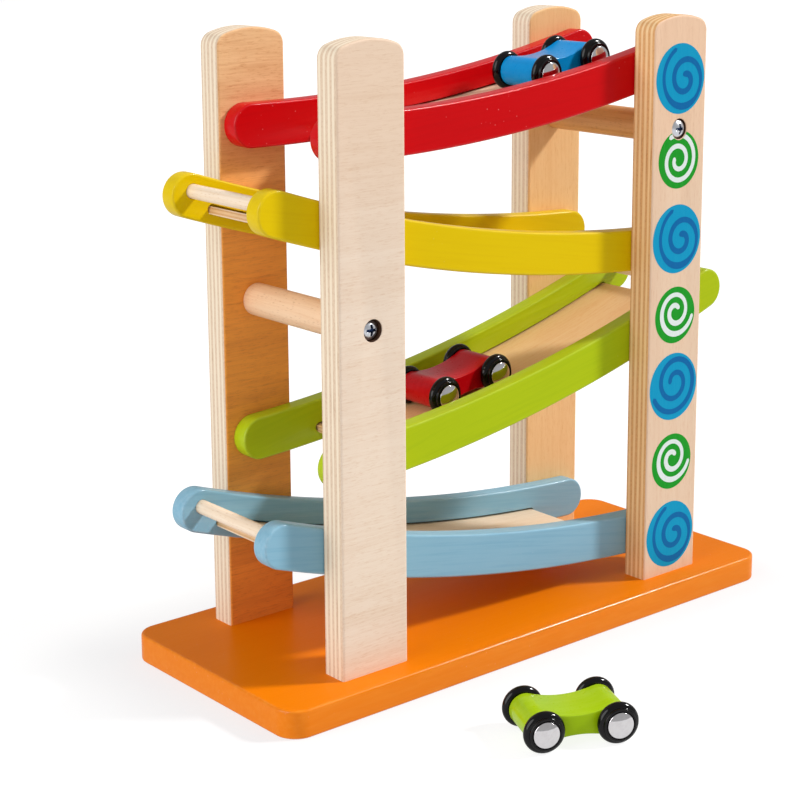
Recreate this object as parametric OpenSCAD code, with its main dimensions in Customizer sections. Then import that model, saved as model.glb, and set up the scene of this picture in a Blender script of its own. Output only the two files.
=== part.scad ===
// Click clack track toy: four curved ramps between two pairs of posts on a base board,
// with three little cars that roll down the ramps.
// Millimetres, +Z up, +X to the right along the track, +Y to the rear.
// The origin is the middle of the base board's underside.

/* [Base board] */
// Length of the base board
base_l = 280; // [260:1:360]
// Width of the base board
base_w = 114; // [106:1:150]
// Thickness of the base board
base_t = 12; // [9:0.5:18]
// Radius of the base board's corners, seen from above
base_corner_r = 10; // [4:0.5:16]
// Radius of the base board's eased edges
base_edge_r = 1; // [0.4:0.1:2]

/* [Posts] */
// Width of a post
post_w = 34; // [28:0.5:40]
// Thickness of a post
post_t = 12.3; // [11:0.1:16]
// Distance between the middles of the left and the right posts
post_pitch = 175.6; // [160:0.2:190]
// Height of a post's top above the red ramp's lower edge
post_head = 45.4; // [44:0.2:60]
// Radius of the crown on top of a post
crown_r = 41; // [30:0.5:60]
// Radius of a post's two shoulders beside the crown
shoulder_r = 5.8; // [3:0.1:8]
// Radius of a post's eased edges
post_edge_r = 1.2; // [0.4:0.1:2]

/* [Ramps] */
// Clear width between a ramp's two rails
track_w = 50.2; // [44:0.2:56]
// Thickness of a rail
rail_t = 8; // [7.4:0.1:10]
// Height of a rail
rail_h = 18.6; // [17:0.1:21]
// Radius of the curve of a rail's lower edge
rail_arc_r = 760; // [650:5:1000]
// Length of the lower three ramps' rails, from tip to tip
long_rail_l = 238.6; // [226:0.2:250]
// Length of the top ramp's rails, from tip to tip
top_rail_l = 209.4; // [202:0.2:224]
// Distance of the lower three ramps' middles from the track's middle, towards their high ends
long_shift = 19.3; // [12:0.1:26]
// Distance of the top ramp's middle from the track's middle, towards its high end
top_shift = 3.3; // [0:0.1:8]
// Slope of the red ramp's middle, in degrees
red_tilt = 5.95; // [5:0.05:7]
// Slope of the yellow ramp's middle, in degrees
yellow_tilt = 10.6; // [9.5:0.05:11.5]
// Slope of the green ramp's middle, in degrees
green_tilt = 11.45; // [10:0.05:12]
// Slope of the blue ramp's middle, in degrees
blue_tilt = 10.7; // [9.5:0.05:11.5]
// Height of the blue ramp's lower edge above the base board, at its middle
blue_lift = 20.9; // [17:0.1:30]
// Height of the green ramp above the blue one, at their middles
green_rise = 67.8; // [62:0.2:80]
// Height of the yellow ramp above the green one, at their middles
yellow_rise = 65.8; // [60:0.2:80]
// Height of the red ramp above the yellow one, at their middles
red_rise = 57.6; // [52:0.2:72]

/* [Ramp floors and stops] */
// Thickness of a ramp's floor
floor_t = 3.2; // [2.6:0.1:3.8]
// Height of the floor's underside above the rails' lower edge
floor_rise = 4.1; // [3.2:0.1:4.6]
// Height of the grooves that hold the floor
groove_h = 4.2; // [4:0.1:5]
// Depth of the grooves in the rails
groove_d = 3.5; // [2.5:0.1:4.5]
// Distance from the rails' low tips to the floor, where a car drops through
drop_gap = 33.8; // [28:0.2:40]
// The same distance on the green ramp
green_drop_gap = 39; // [32:0.2:44]
// The same distance on the red ramp
red_drop_gap = 44; // [36:0.2:48]
// Distance from the rails' high tips to the floor
stop_gap = 19.5; // [16:0.1:24]
// Diameter of a stop dowel
stop_d = 6; // [5:0.1:6.6]
// Height of a stop dowel's lowest point above the floor's top
stop_lift = 1; // [0.4:0.1:1.6]
// Depth of the blind holes that hold a stop dowel
stop_seat = 4; // [3:0.1:5]

/* [Crossbars and fasteners] */
// Diameter of a crossbar
bar_d = 14; // [11:0.2:16]
// Depth of the left crossbar's axis below the yellow ramp's lower edge
left_bar_drop = 27.8; // [20:0.2:34]
// Depth of the right crossbar's axis below the red ramp's lower edge
right_bar_drop = 18.6; // [14:0.2:26]
// Diameter of a wood screw's shank
screw_d = 4; // [3:0.1:4.6]
// Diameter of a crossbar screw's head
screw_head_d = 8.1; // [7:0.1:9]
// Height of a crossbar screw's domed head
screw_head_h = 2.4; // [1.8:0.1:3]
// Length of a crossbar screw's shank
bar_screw_l = 30; // [24:1:34]
// Diameter of the counterbore for a crossbar screw's head
counterbore_d = 9.3; // [9.2:0.1:11]
// Depth of the counterbores in the left posts
left_counterbore = 3; // [2:0.1:4]
// Depth of the counterbores in the right posts
right_counterbore = 1.6; // [1:0.1:4]
// Distance between the two base screws of a post
base_screw_pitch = 18; // [14:0.5:20]
// Length of a base screw
base_screw_l = 36; // [30:1:45]
// Diameter of a base screw's countersunk head
base_screw_head_d = 8; // [7:0.1:9]
// Diameter of the hidden pins that join the rails to the posts
pin_d = 4; // [3:0.1:4.6]
// Height of a hidden pin's axis above the rail's lower edge
pin_rise = 12.6; // [11.8:0.1:13.2]
// Depth of a hidden pin in the rail
pin_rail_seat = 5; // [3.5:0.1:6]
// Depth of a hidden pin in the post
pin_post_seat = 8; // [5:0.1:9]

/* [Cars] */
// Diameter of a wheel
wheel_d = 17; // [15.4:0.1:19]
// Thickness of a wheel
wheel_w = 5; // [4:0.1:6]
// Radius of a wheel's rounded tread edges
tread_r = 1.9; // [1:0.1:2.2]
// Distance between a car's two axles
wheelbase = 30.4; // [27:0.2:34]
// Width of a car's body
car_w = 20.4; // [16:0.2:24]
// Radius of a body's round ends
car_end_r = 6.5; // [5.4:0.1:7.2]
// Half height of a body's waist
waist_half_h = 4.2; // [3.4:0.1:4.8]
// Diameter of an axle
axle_d = 3; // [2:0.1:3.6]
// Diameter of a domed axle cap
cap_d = 10; // [8:0.1:10.6]
// How far an axle cap stands out of the wheel's face
cap_out = 1.5; // [1:0.1:2]
// Diameter of the recess in a wheel's face, round the cap
hub_d = 11.4; // [11:0.1:12.4]
// Depth of the recess in a wheel's face
hub_depth = 0.8; // [0.4:0.1:1.4]
// Distance of the blue car from the middle of the red ramp, up the slope
blue_car_run = 52; // [-40:0.5:60]
// Distance of the red car from the middle of the green ramp, up the slope
red_car_run = -23.4; // [-40:0.2:60]
// Place of the green car's middle along the track
green_car_x = -51.4; // [-90:0.2:90]
// Distance of the green car's middle from the base board's front edge
green_car_off = 63.5; // [40:0.5:90]
// Heading of the green car, in degrees
green_car_turn = -24; // [-60:1:60]

/* [Fits] */
// Gap round a glued or pressed piece in its seat
glue_gap = 0.03; // [0.02:0.01:0.06]
// Gap at the end of a glued piece in its seat
end_gap = 0.1; // [0.05:0.05:0.3]
// Radial gap between a wheel and its axle
axle_gap = 0.05; // [0.03:0.01:0.08]
// Gap beside a wheel, to the body and to the cap
wheel_side_gap = 0.3; // [0.2:0.05:0.5]
// Gap between a wheel and the floor under it
wheel_lift = 0.15; // [0.1:0.05:0.3]

/* [Hidden] */

// Fineness of small round shapes and of the ramps' long curves
$fn = 64;
arc_fn = 720;
// Overrun of a cut past the face that it opens
cut = 1;
// How much fuller a round end is than the straight or curved edges that run into it
fullness = 0.02;

// Which side of the track a piece is on
LEFT = -1;
RIGHT = 1;
FRONT = -1;
REAR = 1;

// The four ramps, from the top down: the red and green ones climb to the right
RED = 0;
YELLOW = 1;
GREEN = 2;
BLUE = 3;
RAMPS = [RED, YELLOW, GREEN, BLUE];
climbs = [RIGHT, LEFT, RIGHT, LEFT];
tilts = [red_tilt, yellow_tilt, green_tilt, blue_tilt];
rail_ls = [top_rail_l, long_rail_l, long_rail_l, long_rail_l];
shifts = [top_shift, long_shift, long_shift, long_shift];
drop_gaps = [red_drop_gap, drop_gap, green_drop_gap, drop_gap];
blue_z = base_t + blue_lift;
green_z = blue_z + green_rise;
yellow_z = green_z + yellow_rise;
red_z = yellow_z + red_rise;
edge_zs = [red_z, yellow_z, green_z, blue_z];
ramp_colors = ["crimson", "gold", "yellowgreen", "skyblue"];

// Places across the track
rail_in_y = track_w / 2;
rail_out_y = rail_in_y + rail_t;
post_y = rail_out_y + post_t / 2;
post_x = post_pitch / 2;
post_h = red_z + post_head - base_t;

// Radii of a ramp's curves about its arc's middle
rail_mid_r = rail_arc_r - rail_h / 2;
rail_top_r = rail_arc_r - rail_h;
floor_under_r = rail_arc_r - floor_rise;
floor_top_r = floor_under_r - floor_t;
groove_mid_r = floor_under_r - groove_h / 2;
stop_r = floor_top_r - stop_lift - stop_d / 2;
pin_r = rail_arc_r - pin_rise;

// Angles along a ramp's arc, in degrees from straight down towards the high end
function arc_deg(run, r) = run / r * 180 / PI;
function half_deg(i) = asin((rail_ls[i] - rail_h) / 2 / rail_mid_r);
function low_deg(i) = tilts[i] - half_deg(i);
function high_deg(i) = tilts[i] + half_deg(i);
tip_deg = arc_deg(rail_h / 2, rail_mid_r);
function floor_low_deg(i) = low_deg(i) - tip_deg + arc_deg(drop_gaps[i], floor_top_r);
function floor_high_deg(i) = high_deg(i) + tip_deg - arc_deg(stop_gap, floor_top_r);
function arc_point(r, a) = [r * sin(a), -r * cos(a)];

// Middle of a ramp's arc, before the ramps that climb to the left are mirrored
function arc_x(i) = shifts[i] - rail_arc_r * sin(tilts[i]);
function arc_z(i) = edge_zs[i] + rail_arc_r * cos(tilts[i]);

// Height of the curve of radius r of ramp i where it passes the posts on one side
function reach_x(i, side) = side * climbs[i] * post_x - arc_x(i);
function height_at_post(i, side, r) = arc_z(i) - sqrt(r * r - pow(reach_x(i, side), 2));

// Crossbars: the left one hangs under the yellow ramp, the right one under the red ramp
left_bar_z = height_at_post(YELLOW, LEFT, rail_arc_r) - left_bar_drop;
right_bar_z = height_at_post(RED, RIGHT, rail_arc_r) - right_bar_drop;
function bar_z(side) = side == LEFT ? left_bar_z : right_bar_z;
function counterbore(side) = side == LEFT ? left_counterbore : right_counterbore;
bar_l = 2 * rail_out_y;

// Pieces of a car
wheel_r = wheel_d / 2;
wheel_in_y = car_w / 2 + wheel_side_gap;
wheel_out_y = wheel_in_y + wheel_w;
cap_back_y = wheel_out_y - hub_depth + wheel_side_gap;
cap_top_y = wheel_out_y + cap_out;
cap_rim = (cap_top_y - cap_back_y) / 3;
cap_rise = cap_top_y - cap_back_y - cap_rim;
cap_dome_r = (cap_d * cap_d / 4 + cap_rise * cap_rise) / 2 / cap_rise;
axle_half_l = cap_back_y + cap_rim;
waist_r = (pow(wheelbase / 2, 2) + pow(waist_half_h, 2) - pow(car_end_r, 2)) / 2 / (car_end_r - waist_half_h);
ring_w = (hub_d - axle_d) / 8;
ring_rise = hub_depth / 2;

// Places of the cars' middles about the ramps' arcs
car_arc_r = sqrt(pow(floor_top_r - wheel_r - wheel_lift, 2) - pow(wheelbase / 2, 2));
car_ramps = [RED, GREEN];
car_runs = [blue_car_run, red_car_run];
function car_deg(k) = tilts[car_ramps[k]] + arc_deg(car_runs[k], floor_top_r);
BLUE_CAR = 0;
RED_CAR = 1;
GREEN_CAR = 2;
car_colors = ["dodgerblue", "firebrick", "yellowgreen"];

// Moves a flat shape in the XZ plane to a slab from y0 to y1
module slab(y0, y1) {
    translate([0, y1, 0])
        rotate([90, 0, 0])
            linear_extrude(y1 - y0)
                children();
}

// A rod along Y between y0 and y1
module rod(d, y0, y1) {
    slab(y0, y1) circle(d = d);
}

// Half of the cross-section of a disc with eased rims, to be turned about its axis
module eased_half(r, t, e) {
    square([r - e, t]);
    translate([0, e]) square([r, t - 2 * e]);
    translate([r - e, e]) circle(e);
    translate([r - e, t - e]) circle(e);
}

// A disc with eased rims, standing on z = 0
module eased_disc(r, t, e) {
    rotate_extrude()
        intersection() {
            eased_half(r, t, e);
            square([r, t]);
        }
}

// A rectangle with rounded corners, centred
module eased_rect(w, h, e) {
    square([w - 2 * e, h], center = true);
    square([w, h - 2 * e], center = true);
    for (x = [-1, 1], y = [-1, 1])
        translate([x * (w / 2 - e), y * (h / 2 - e)]) circle(e);
}

// Base board: two crossed bars with eased edges and a rounded disc at each corner
module base_blank() {
    inner_l = base_l - 2 * base_corner_r;
    inner_w = base_w - 2 * base_corner_r;
    translate([-inner_l / 2, 0, base_t / 2])
        rotate([90, 0, 90]) linear_extrude(inner_l) eased_rect(base_w, base_t, base_edge_r);
    translate([0, inner_w / 2, base_t / 2])
        rotate([90, 0, 0]) linear_extrude(inner_w) eased_rect(base_l, base_t, base_edge_r);
    for (x = [-1, 1], y = [-1, 1])
        translate([x * inner_l / 2, y * inner_w / 2, 0])
            eased_disc(base_corner_r, base_t, base_edge_r);
}

// Places of the two base screws under each post
module at_base_screws(sides = [LEFT, RIGHT], rows = [FRONT, REAR]) {
    for (side = sides, row = rows, k = [-1, 1])
        translate([side * post_x + k * base_screw_pitch / 2, row * post_y, 0]) children();
}

// A countersunk wood screw on its head, which is wider by the named gap in a hole for it
module countersunk_screw(gap, l) {
    head_r = base_screw_head_d / 2 + gap;
    shank_r = screw_d / 2 + gap;
    cylinder(h = head_r - shank_r, r1 = head_r, r2 = shank_r);
    cylinder(h = l, r = shank_r);
}

module base_board() {
    color("darkorange")
        difference() {
            base_blank();
            at_base_screws() {
                countersunk_screw(glue_gap, base_screw_l);
                mirror([0, 0, 1]) cylinder(h = cut, r = base_screw_head_d / 2 + glue_gap);
            }
        }
}

module base_screws() {
    sunk = end_gap;
    color("silver")
        at_base_screws()
            difference() {
                countersunk_screw(0, base_screw_l - end_gap);
                mirror([0, 0, 1]) cylinder(h = cut, r = base_screw_head_d);
                cylinder(h = sunk, r = base_screw_head_d);
                cross_recess(screw_head_h);
            }
}

// The cross-shaped hole for a screwdriver, cut up from z = 0
module cross_recess(depth) {
    arm_l = screw_head_d / 2;
    arm_w = arm_l / 4;
    for (a = [0, 90])
        rotate([0, 0, a]) cube([arm_l, arm_w, depth], center = true);
}

// Front view of a post on z = 0: a square shank, two round shoulders and a shallow crown
module post_outline() {
    shoulder_x = post_w / 2 - shoulder_r;
    crown_z = post_h - crown_r;
    rise = sqrt(pow(crown_r - shoulder_r, 2) - pow(shoulder_x, 2));
    wedge_share = 2;
    translate([-post_w / 2, 0]) square([post_w, crown_z + rise]);
    for (s = [-1, 1])
        translate([s * shoulder_x, crown_z + rise]) circle(shoulder_r + fullness);
    translate([0, crown_z])
        intersection() {
            circle(crown_r);
            polygon([[0, 0], wedge_share * [shoulder_x, rise], wedge_share * [-shoulder_x, rise]]);
        }
}

// A post on z = 0 about its own middle, with eased upright edges
module post_blank() {
    intersection() {
        linear_extrude(post_h) eased_rect(post_w, post_t, post_edge_r);
        slab(-post_t / 2 - cut, post_t / 2 + cut) post_outline();
    }
}

// The holes for the four ramps' hidden pins, bored into the inner face of one post
module pin_holes(side, row) {
    far = rail_out_y + pin_post_seat + end_gap;
    near = rail_out_y - cut;
    for (i = RAMPS)
        translate([side * post_x, 0, height_at_post(i, side, pin_r)])
            mirror([0, row == FRONT ? 1 : 0, 0]) rod(pin_d + 2 * glue_gap, near, far);
}

// The screw hole and the counterbore through one post on a crossbar's axis
module bar_screw_hole(side, row) {
    outer_y = post_y + post_t / 2;
    translate([side * post_x, 0, bar_z(side)])
        mirror([0, row == FRONT ? 1 : 0, 0]) {
            rod(screw_d + 2 * glue_gap, rail_out_y - cut, outer_y + cut);
            rod(counterbore_d, outer_y - counterbore(side), outer_y + cut);
        }
}

module post(side, row) {
    color("wheat")
        difference() {
            translate([side * post_x, row * post_y, base_t]) post_blank();
            pin_holes(side, row);
            bar_screw_hole(side, row);
            at_base_screws([side], [row]) countersunk_screw(glue_gap, base_screw_l);
        }
}

// A crossbar between the inner faces of two posts, with a pilot hole in each end
module crossbar(side) {
    pilot = bar_screw_l + counterbore(side) + glue_gap - post_t;
    color("burlywood")
        translate([side * post_x, 0, bar_z(side)])
            difference() {
                rod(bar_d, -bar_l / 2, bar_l / 2);
                for (row = [0, 1])
                    mirror([0, row, 0]) rod(screw_d + 2 * glue_gap, bar_l / 2 - pilot, bar_l / 2 + cut);
            }
}

// A domed wood screw along -Z, its head's underside on z = 0
module domed_screw() {
    rim_h = screw_head_h / 4;
    rise = screw_head_h - rim_h;
    head_r = screw_head_d / 2;
    dome_r = (head_r * head_r + rise * rise) / 2 / rise;
    difference() {
        union() {
            cylinder(h = rim_h, r = head_r);
            translate([0, 0, rim_h])
                rotate_extrude()
                    intersection() {
                        translate([0, rise - dome_r]) circle(dome_r);
                        square([head_r, rise]);
                    }
            mirror([0, 0, 1]) cylinder(h = bar_screw_l - end_gap, r = screw_d / 2);
        }
        translate([0, 0, screw_head_h]) cross_recess(screw_head_h);
    }
}

module crossbar_screws() {
    outer_y = post_y + post_t / 2;
    color("silver")
        for (side = [LEFT, RIGHT], row = [FRONT, REAR])
            translate([side * post_x, row * (outer_y - counterbore(side)), bar_z(side)])
                rotate([row * -90, 0, 0]) domed_screw();
}

// Puts what is drawn about the middle of a ramp's arc in its place
module on_ramp(i) {
    mirror([climbs[i] == LEFT ? 1 : 0, 0, 0])
        translate([arc_x(i), 0, arc_z(i)]) children();
}

// A flat stretch of a ring about the arc's middle, from one angle to another
module band(outer_r, inner_r, a0, a1) {
    reach = 2 * outer_r;
    intersection() {
        difference() {
            circle(outer_r, $fn = arc_fn);
            circle(inner_r, $fn = arc_fn);
        }
        polygon([[0, 0], arc_point(reach, a0), arc_point(reach, a1)]);
    }
}

// A flat stretch of a ring with round ends, whose end discs lie at the two angles
module round_band(mid_r, h, a0, a1) {
    band(mid_r + h / 2, mid_r - h / 2, a0, a1);
    for (a = [a0, a1])
        translate(arc_point(mid_r, a)) circle(h / 2 + fullness);
}

// A rail on the rear side, with its groove, its two pin holes and, below the top ramp, its dowel hole
module rail_shape(i) {
    play_deg = arc_deg(end_gap, floor_top_r);
    difference() {
        slab(rail_in_y, rail_out_y) round_band(rail_mid_r, rail_h, low_deg(i), high_deg(i));
        slab(rail_in_y - cut, rail_in_y + groove_d)
            round_band(groove_mid_r, groove_h, floor_low_deg(i) - play_deg, floor_high_deg(i) + play_deg);
        if (i != RED)
            stop_place(i) rod(stop_d + 2 * glue_gap, rail_in_y - cut, rail_in_y + stop_seat);
        for (side = [LEFT, RIGHT])
            pin_place(i, side) rod(pin_d + 2 * glue_gap, rail_out_y - pin_rail_seat - end_gap, rail_out_y + cut);
    }
}

// The stop dowel's axis, level with the middle of the rails' high ends
module stop_place(i) {
    p = arc_point(stop_r, high_deg(i));
    translate([p.x, 0, p.y]) children();
}

// The axis of a hidden pin where ramp i passes the posts on one side
module pin_place(i, side) {
    x = reach_x(i, side);
    translate([x, 0, -sqrt(pin_r * pin_r - x * x)]) children();
}

module rail(i, row) {
    color(ramp_colors[i])
        on_ramp(i)
            mirror([0, row == FRONT ? 1 : 0, 0]) rail_shape(i);
}

module ramp_floor(i) {
    half_w = rail_in_y + groove_d - end_gap;
    color("burlywood")
        on_ramp(i)
            slab(-half_w, half_w)
                band(floor_under_r, floor_top_r, floor_low_deg(i), floor_high_deg(i));
}

module stop_dowel(i) {
    half_l = rail_in_y + stop_seat - end_gap;
    color("wheat")
        on_ramp(i)
            stop_place(i) rod(stop_d, -half_l, half_l);
}

// The four hidden pins of a ramp, two into each pair of posts
module pins(i) {
    color("tan")
        on_ramp(i)
            for (side = [LEFT, RIGHT], row = [0, 1])
                pin_place(i, side)
                    mirror([0, row, 0]) rod(pin_d, rail_out_y - pin_rail_seat, rail_out_y + pin_post_seat);
}

// Puts what is drawn about a car's middle in its place on a ramp or on the table
module at_car(k) {
    if (k == GREEN_CAR) {
        translate([green_car_x, -base_w / 2 - green_car_off, wheel_r])
            rotate([0, 0, green_car_turn]) children();
    } else {
        on_ramp(car_ramps[k])
            rotate([0, -car_deg(k), 0])
                translate([0, 0, -car_arc_r]) children();
    }
}

// Side view of a body: round ends about the axles and a hollow waist above and below
module car_side() {
    lift = waist_half_h + waist_r;
    meet_z = lift * car_end_r / (car_end_r + waist_r);
    difference() {
        square([wheelbase, 2 * meet_z], center = true);
        for (s = [-1, 1])
            translate([0, s * (lift + fullness)]) circle(waist_r, $fn = arc_fn);
    }
    for (s = [-1, 1])
        translate([s * wheelbase / 2, 0]) circle(car_end_r);
}

module car_body(k) {
    color(car_colors[k])
        at_car(k)
            difference() {
                slab(-car_w / 2, car_w / 2) car_side();
                for (side = [LEFT, RIGHT])
                    translate([side * wheelbase / 2, 0, 0])
                        rod(axle_d + 2 * glue_gap, -car_w / 2 - cut, car_w / 2 + cut);
            }
}

module car_axle(k, side) {
    color("silver")
        at_car(k)
            translate([side * wheelbase / 2, 0, 0]) rod(axle_d, -axle_half_l, axle_half_l);
}

// Puts what is drawn along +Z from the car's mid plane out to one wheel
module at_wheel(side, row) {
    translate([side * wheelbase / 2, 0, 0])
        rotate([row * -90, 0, 0]) children();
}

// Half of a wheel's cross-section, from the bore to the rounded tread
module wheel_half() {
    bore_r = axle_d / 2 + axle_gap;
    difference() {
        intersection() {
            union() {
                square([wheel_r - tread_r, wheel_w]);
                translate([0, tread_r]) square([wheel_r, wheel_w - 2 * tread_r]);
                for (z = [tread_r, wheel_w - tread_r])
                    translate([wheel_r - tread_r, z]) circle(tread_r);
            }
            square([wheel_r, wheel_w]);
        }
        translate([-cut, -cut]) square([bore_r + cut, wheel_w + 2 * cut]);
        translate([0, wheel_w - hub_depth]) square([hub_d / 2, hub_depth + cut]);
    }
}

module car_wheel(k, side, row) {
    color("black")
        at_car(k)
            at_wheel(side, row)
                translate([0, 0, wheel_in_y]) rotate_extrude() wheel_half();
}

// A domed cap along +Z, bored at the back for the end of its axle
module axle_cap() {
    bore_r = axle_d / 2 + glue_gap;
    difference() {
        union() {
            cylinder(h = cap_rim, r = cap_d / 2);
            translate([0, 0, cap_rim])
                rotate_extrude()
                    intersection() {
                        translate([0, cap_rise - cap_dome_r]) circle(cap_dome_r);
                        square([cap_d / 2, cap_rise]);
                    }
        }
        translate([0, 0, -cut]) cylinder(h = cap_rim + end_gap + cut, r = bore_r);
    }
}

module car_caps(k) {
    color("gainsboro")
        at_car(k)
            for (side = [LEFT, RIGHT], row = [FRONT, REAR])
                at_wheel(side, row) translate([0, 0, cap_back_y]) axle_cap();
}

base_board();
post(LEFT, FRONT);  // post_front_left
post(RIGHT, FRONT);  // post_front_right
post(LEFT, REAR);  // post_rear_left
post(RIGHT, REAR);  // post_rear_right
crossbar(LEFT);  // left_crossbar
crossbar(RIGHT);  // right_crossbar
crossbar_screws();
base_screws();
rail(RED, FRONT);  // red_front_rail
rail(RED, REAR);  // red_rear_rail
ramp_floor(RED);  // red_floor
pins(RED);  // red_pins
rail(YELLOW, FRONT);  // yellow_front_rail
rail(YELLOW, REAR);  // yellow_rear_rail
ramp_floor(YELLOW);  // yellow_floor
stop_dowel(YELLOW);  // yellow_stop_dowel
pins(YELLOW);  // yellow_pins
rail(GREEN, FRONT);  // green_front_rail
rail(GREEN, REAR);  // green_rear_rail
ramp_floor(GREEN);  // green_floor
stop_dowel(GREEN);  // green_stop_dowel
pins(GREEN);  // green_pins
rail(BLUE, FRONT);  // blue_front_rail
rail(BLUE, REAR);  // blue_rear_rail
ramp_floor(BLUE);  // blue_floor
stop_dowel(BLUE);  // blue_stop_dowel
pins(BLUE);  // blue_pins
car_body(BLUE_CAR);  // blue_car_body
car_axle(BLUE_CAR, LEFT);  // blue_car_left_axle
car_axle(BLUE_CAR, RIGHT);  // blue_car_right_axle
car_caps(BLUE_CAR);  // blue_car_caps
car_wheel(BLUE_CAR, LEFT, FRONT);  // blue_car_wheel_left_front
car_wheel(BLUE_CAR, LEFT, REAR);  // blue_car_wheel_left_rear
car_wheel(BLUE_CAR, RIGHT, FRONT);  // blue_car_wheel_right_front
car_wheel(BLUE_CAR, RIGHT, REAR);  // blue_car_wheel_right_rear
car_body(RED_CAR);  // red_car_body
car_axle(RED_CAR, LEFT);  // red_car_left_axle
car_axle(RED_CAR, RIGHT);  // red_car_right_axle
car_caps(RED_CAR);  // red_car_caps
car_wheel(RED_CAR, LEFT, FRONT);  // red_car_wheel_left_front
car_wheel(RED_CAR, LEFT, REAR);  // red_car_wheel_left_rear
car_wheel(RED_CAR, RIGHT, FRONT);  // red_car_wheel_right_front
car_wheel(RED_CAR, RIGHT, REAR);  // red_car_wheel_right_rear
car_body(GREEN_CAR);  // green_car_body
car_axle(GREEN_CAR, LEFT);  // green_car_left_axle
car_axle(GREEN_CAR, RIGHT);  // green_car_right_axle
car_caps(GREEN_CAR);  // green_car_caps
car_wheel(GREEN_CAR, LEFT, FRONT);  // green_car_wheel_left_front
car_wheel(GREEN_CAR, LEFT, REAR);  // green_car_wheel_left_rear
car_wheel(GREEN_CAR, RIGHT, FRONT);  // green_car_wheel_right_front
car_wheel(GREEN_CAR, RIGHT, REAR);  // green_car_wheel_right_rear
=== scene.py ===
"""Looks of the click clack track toy.

Four curved ramps hang between two pairs of plywood posts on a lacquered base board, and three
little cars roll down them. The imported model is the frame: each piece here stands for a node of it,
in the same place, with eased edges, let-in grooves, printed discs and the finish of the real one.
Lengths are metres.
"""

from __future__ import annotations

import logging
import math
from dataclasses import dataclass
from enum import Enum
from typing import Any, Sequence

import bmesh
import bpy
from mathutils import Matrix, Vector
from mathutils.geometry import tessellate_polygon


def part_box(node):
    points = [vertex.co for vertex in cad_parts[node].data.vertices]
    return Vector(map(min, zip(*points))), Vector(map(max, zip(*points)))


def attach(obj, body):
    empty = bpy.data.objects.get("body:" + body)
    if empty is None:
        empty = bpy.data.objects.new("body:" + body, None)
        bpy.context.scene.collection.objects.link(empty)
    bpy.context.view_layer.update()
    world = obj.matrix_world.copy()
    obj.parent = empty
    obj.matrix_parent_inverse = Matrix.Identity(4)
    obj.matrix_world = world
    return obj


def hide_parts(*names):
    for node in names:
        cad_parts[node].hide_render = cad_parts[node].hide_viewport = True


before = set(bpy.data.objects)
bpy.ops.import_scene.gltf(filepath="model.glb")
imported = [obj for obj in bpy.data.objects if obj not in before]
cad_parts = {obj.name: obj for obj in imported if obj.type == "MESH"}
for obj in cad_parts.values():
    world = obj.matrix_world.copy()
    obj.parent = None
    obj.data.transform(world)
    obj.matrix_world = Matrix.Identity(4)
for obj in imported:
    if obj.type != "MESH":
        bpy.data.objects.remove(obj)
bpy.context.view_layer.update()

LOG = logging.getLogger("track_toy")
MM = 0.001
QUARTER = math.pi / 2
HALF_TURN = math.pi
FULL_TURN = 2 * math.pi
BOARD = "board"
# Point attribute: edge wear on eased edges, and painted shade over a screw head's cross.
WEAR_AND_RECESS_SHADE = "worn"
SMOOTH_ANGLE = math.radians(38)
SEAM = 0.001 * MM
TRACK = "track"


class Side(Enum):
    """Which end of the track a piece is at."""

    LEFT = -1
    RIGHT = 1


class Row(Enum):
    """Whether a piece is in the front or in the rear row."""

    FRONT = -1
    REAR = 1


CORNERS = [(side, row) for side in Side for row in Row]


class Bend(Enum):
    """Whether a round stretch of an outline bulges out of the piece or is hollowed into it."""

    BULGE = 1
    HOLLOW = -1


class Face(Enum):
    """Which face of a slab a pocket is sunk into, along the slab's thickness."""

    NEAR = -1
    FAR = 1


class Grain(Enum):
    """Which way the grain of a veneer runs."""

    ACROSS = 0
    UPRIGHT = 1


class Winding(Enum):
    """Which way a printed spiral turns on its way out."""

    CLOCKWISE = -1
    COUNTER = 1


Colour = tuple[float, float, float, float]


def srgb(red: int, green: int, blue: int) -> Colour:
    """Turns a colour as seen on a screen into the linear colour that a shader takes.

    Args:
        red: Red from 0 to 255.
        green: Green from 0 to 255.
        blue: Blue from 0 to 255.

    Returns:
        Linear red, green and blue, and a full alpha.
    """
    linear = [
        value / 12.92 if value <= 0.04045 else ((value + 0.055) / 1.055) ** 2.4
        for value in (red / 255, green / 255, blue / 255)
    ]
    return (linear[0], linear[1], linear[2], 1.0)


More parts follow.
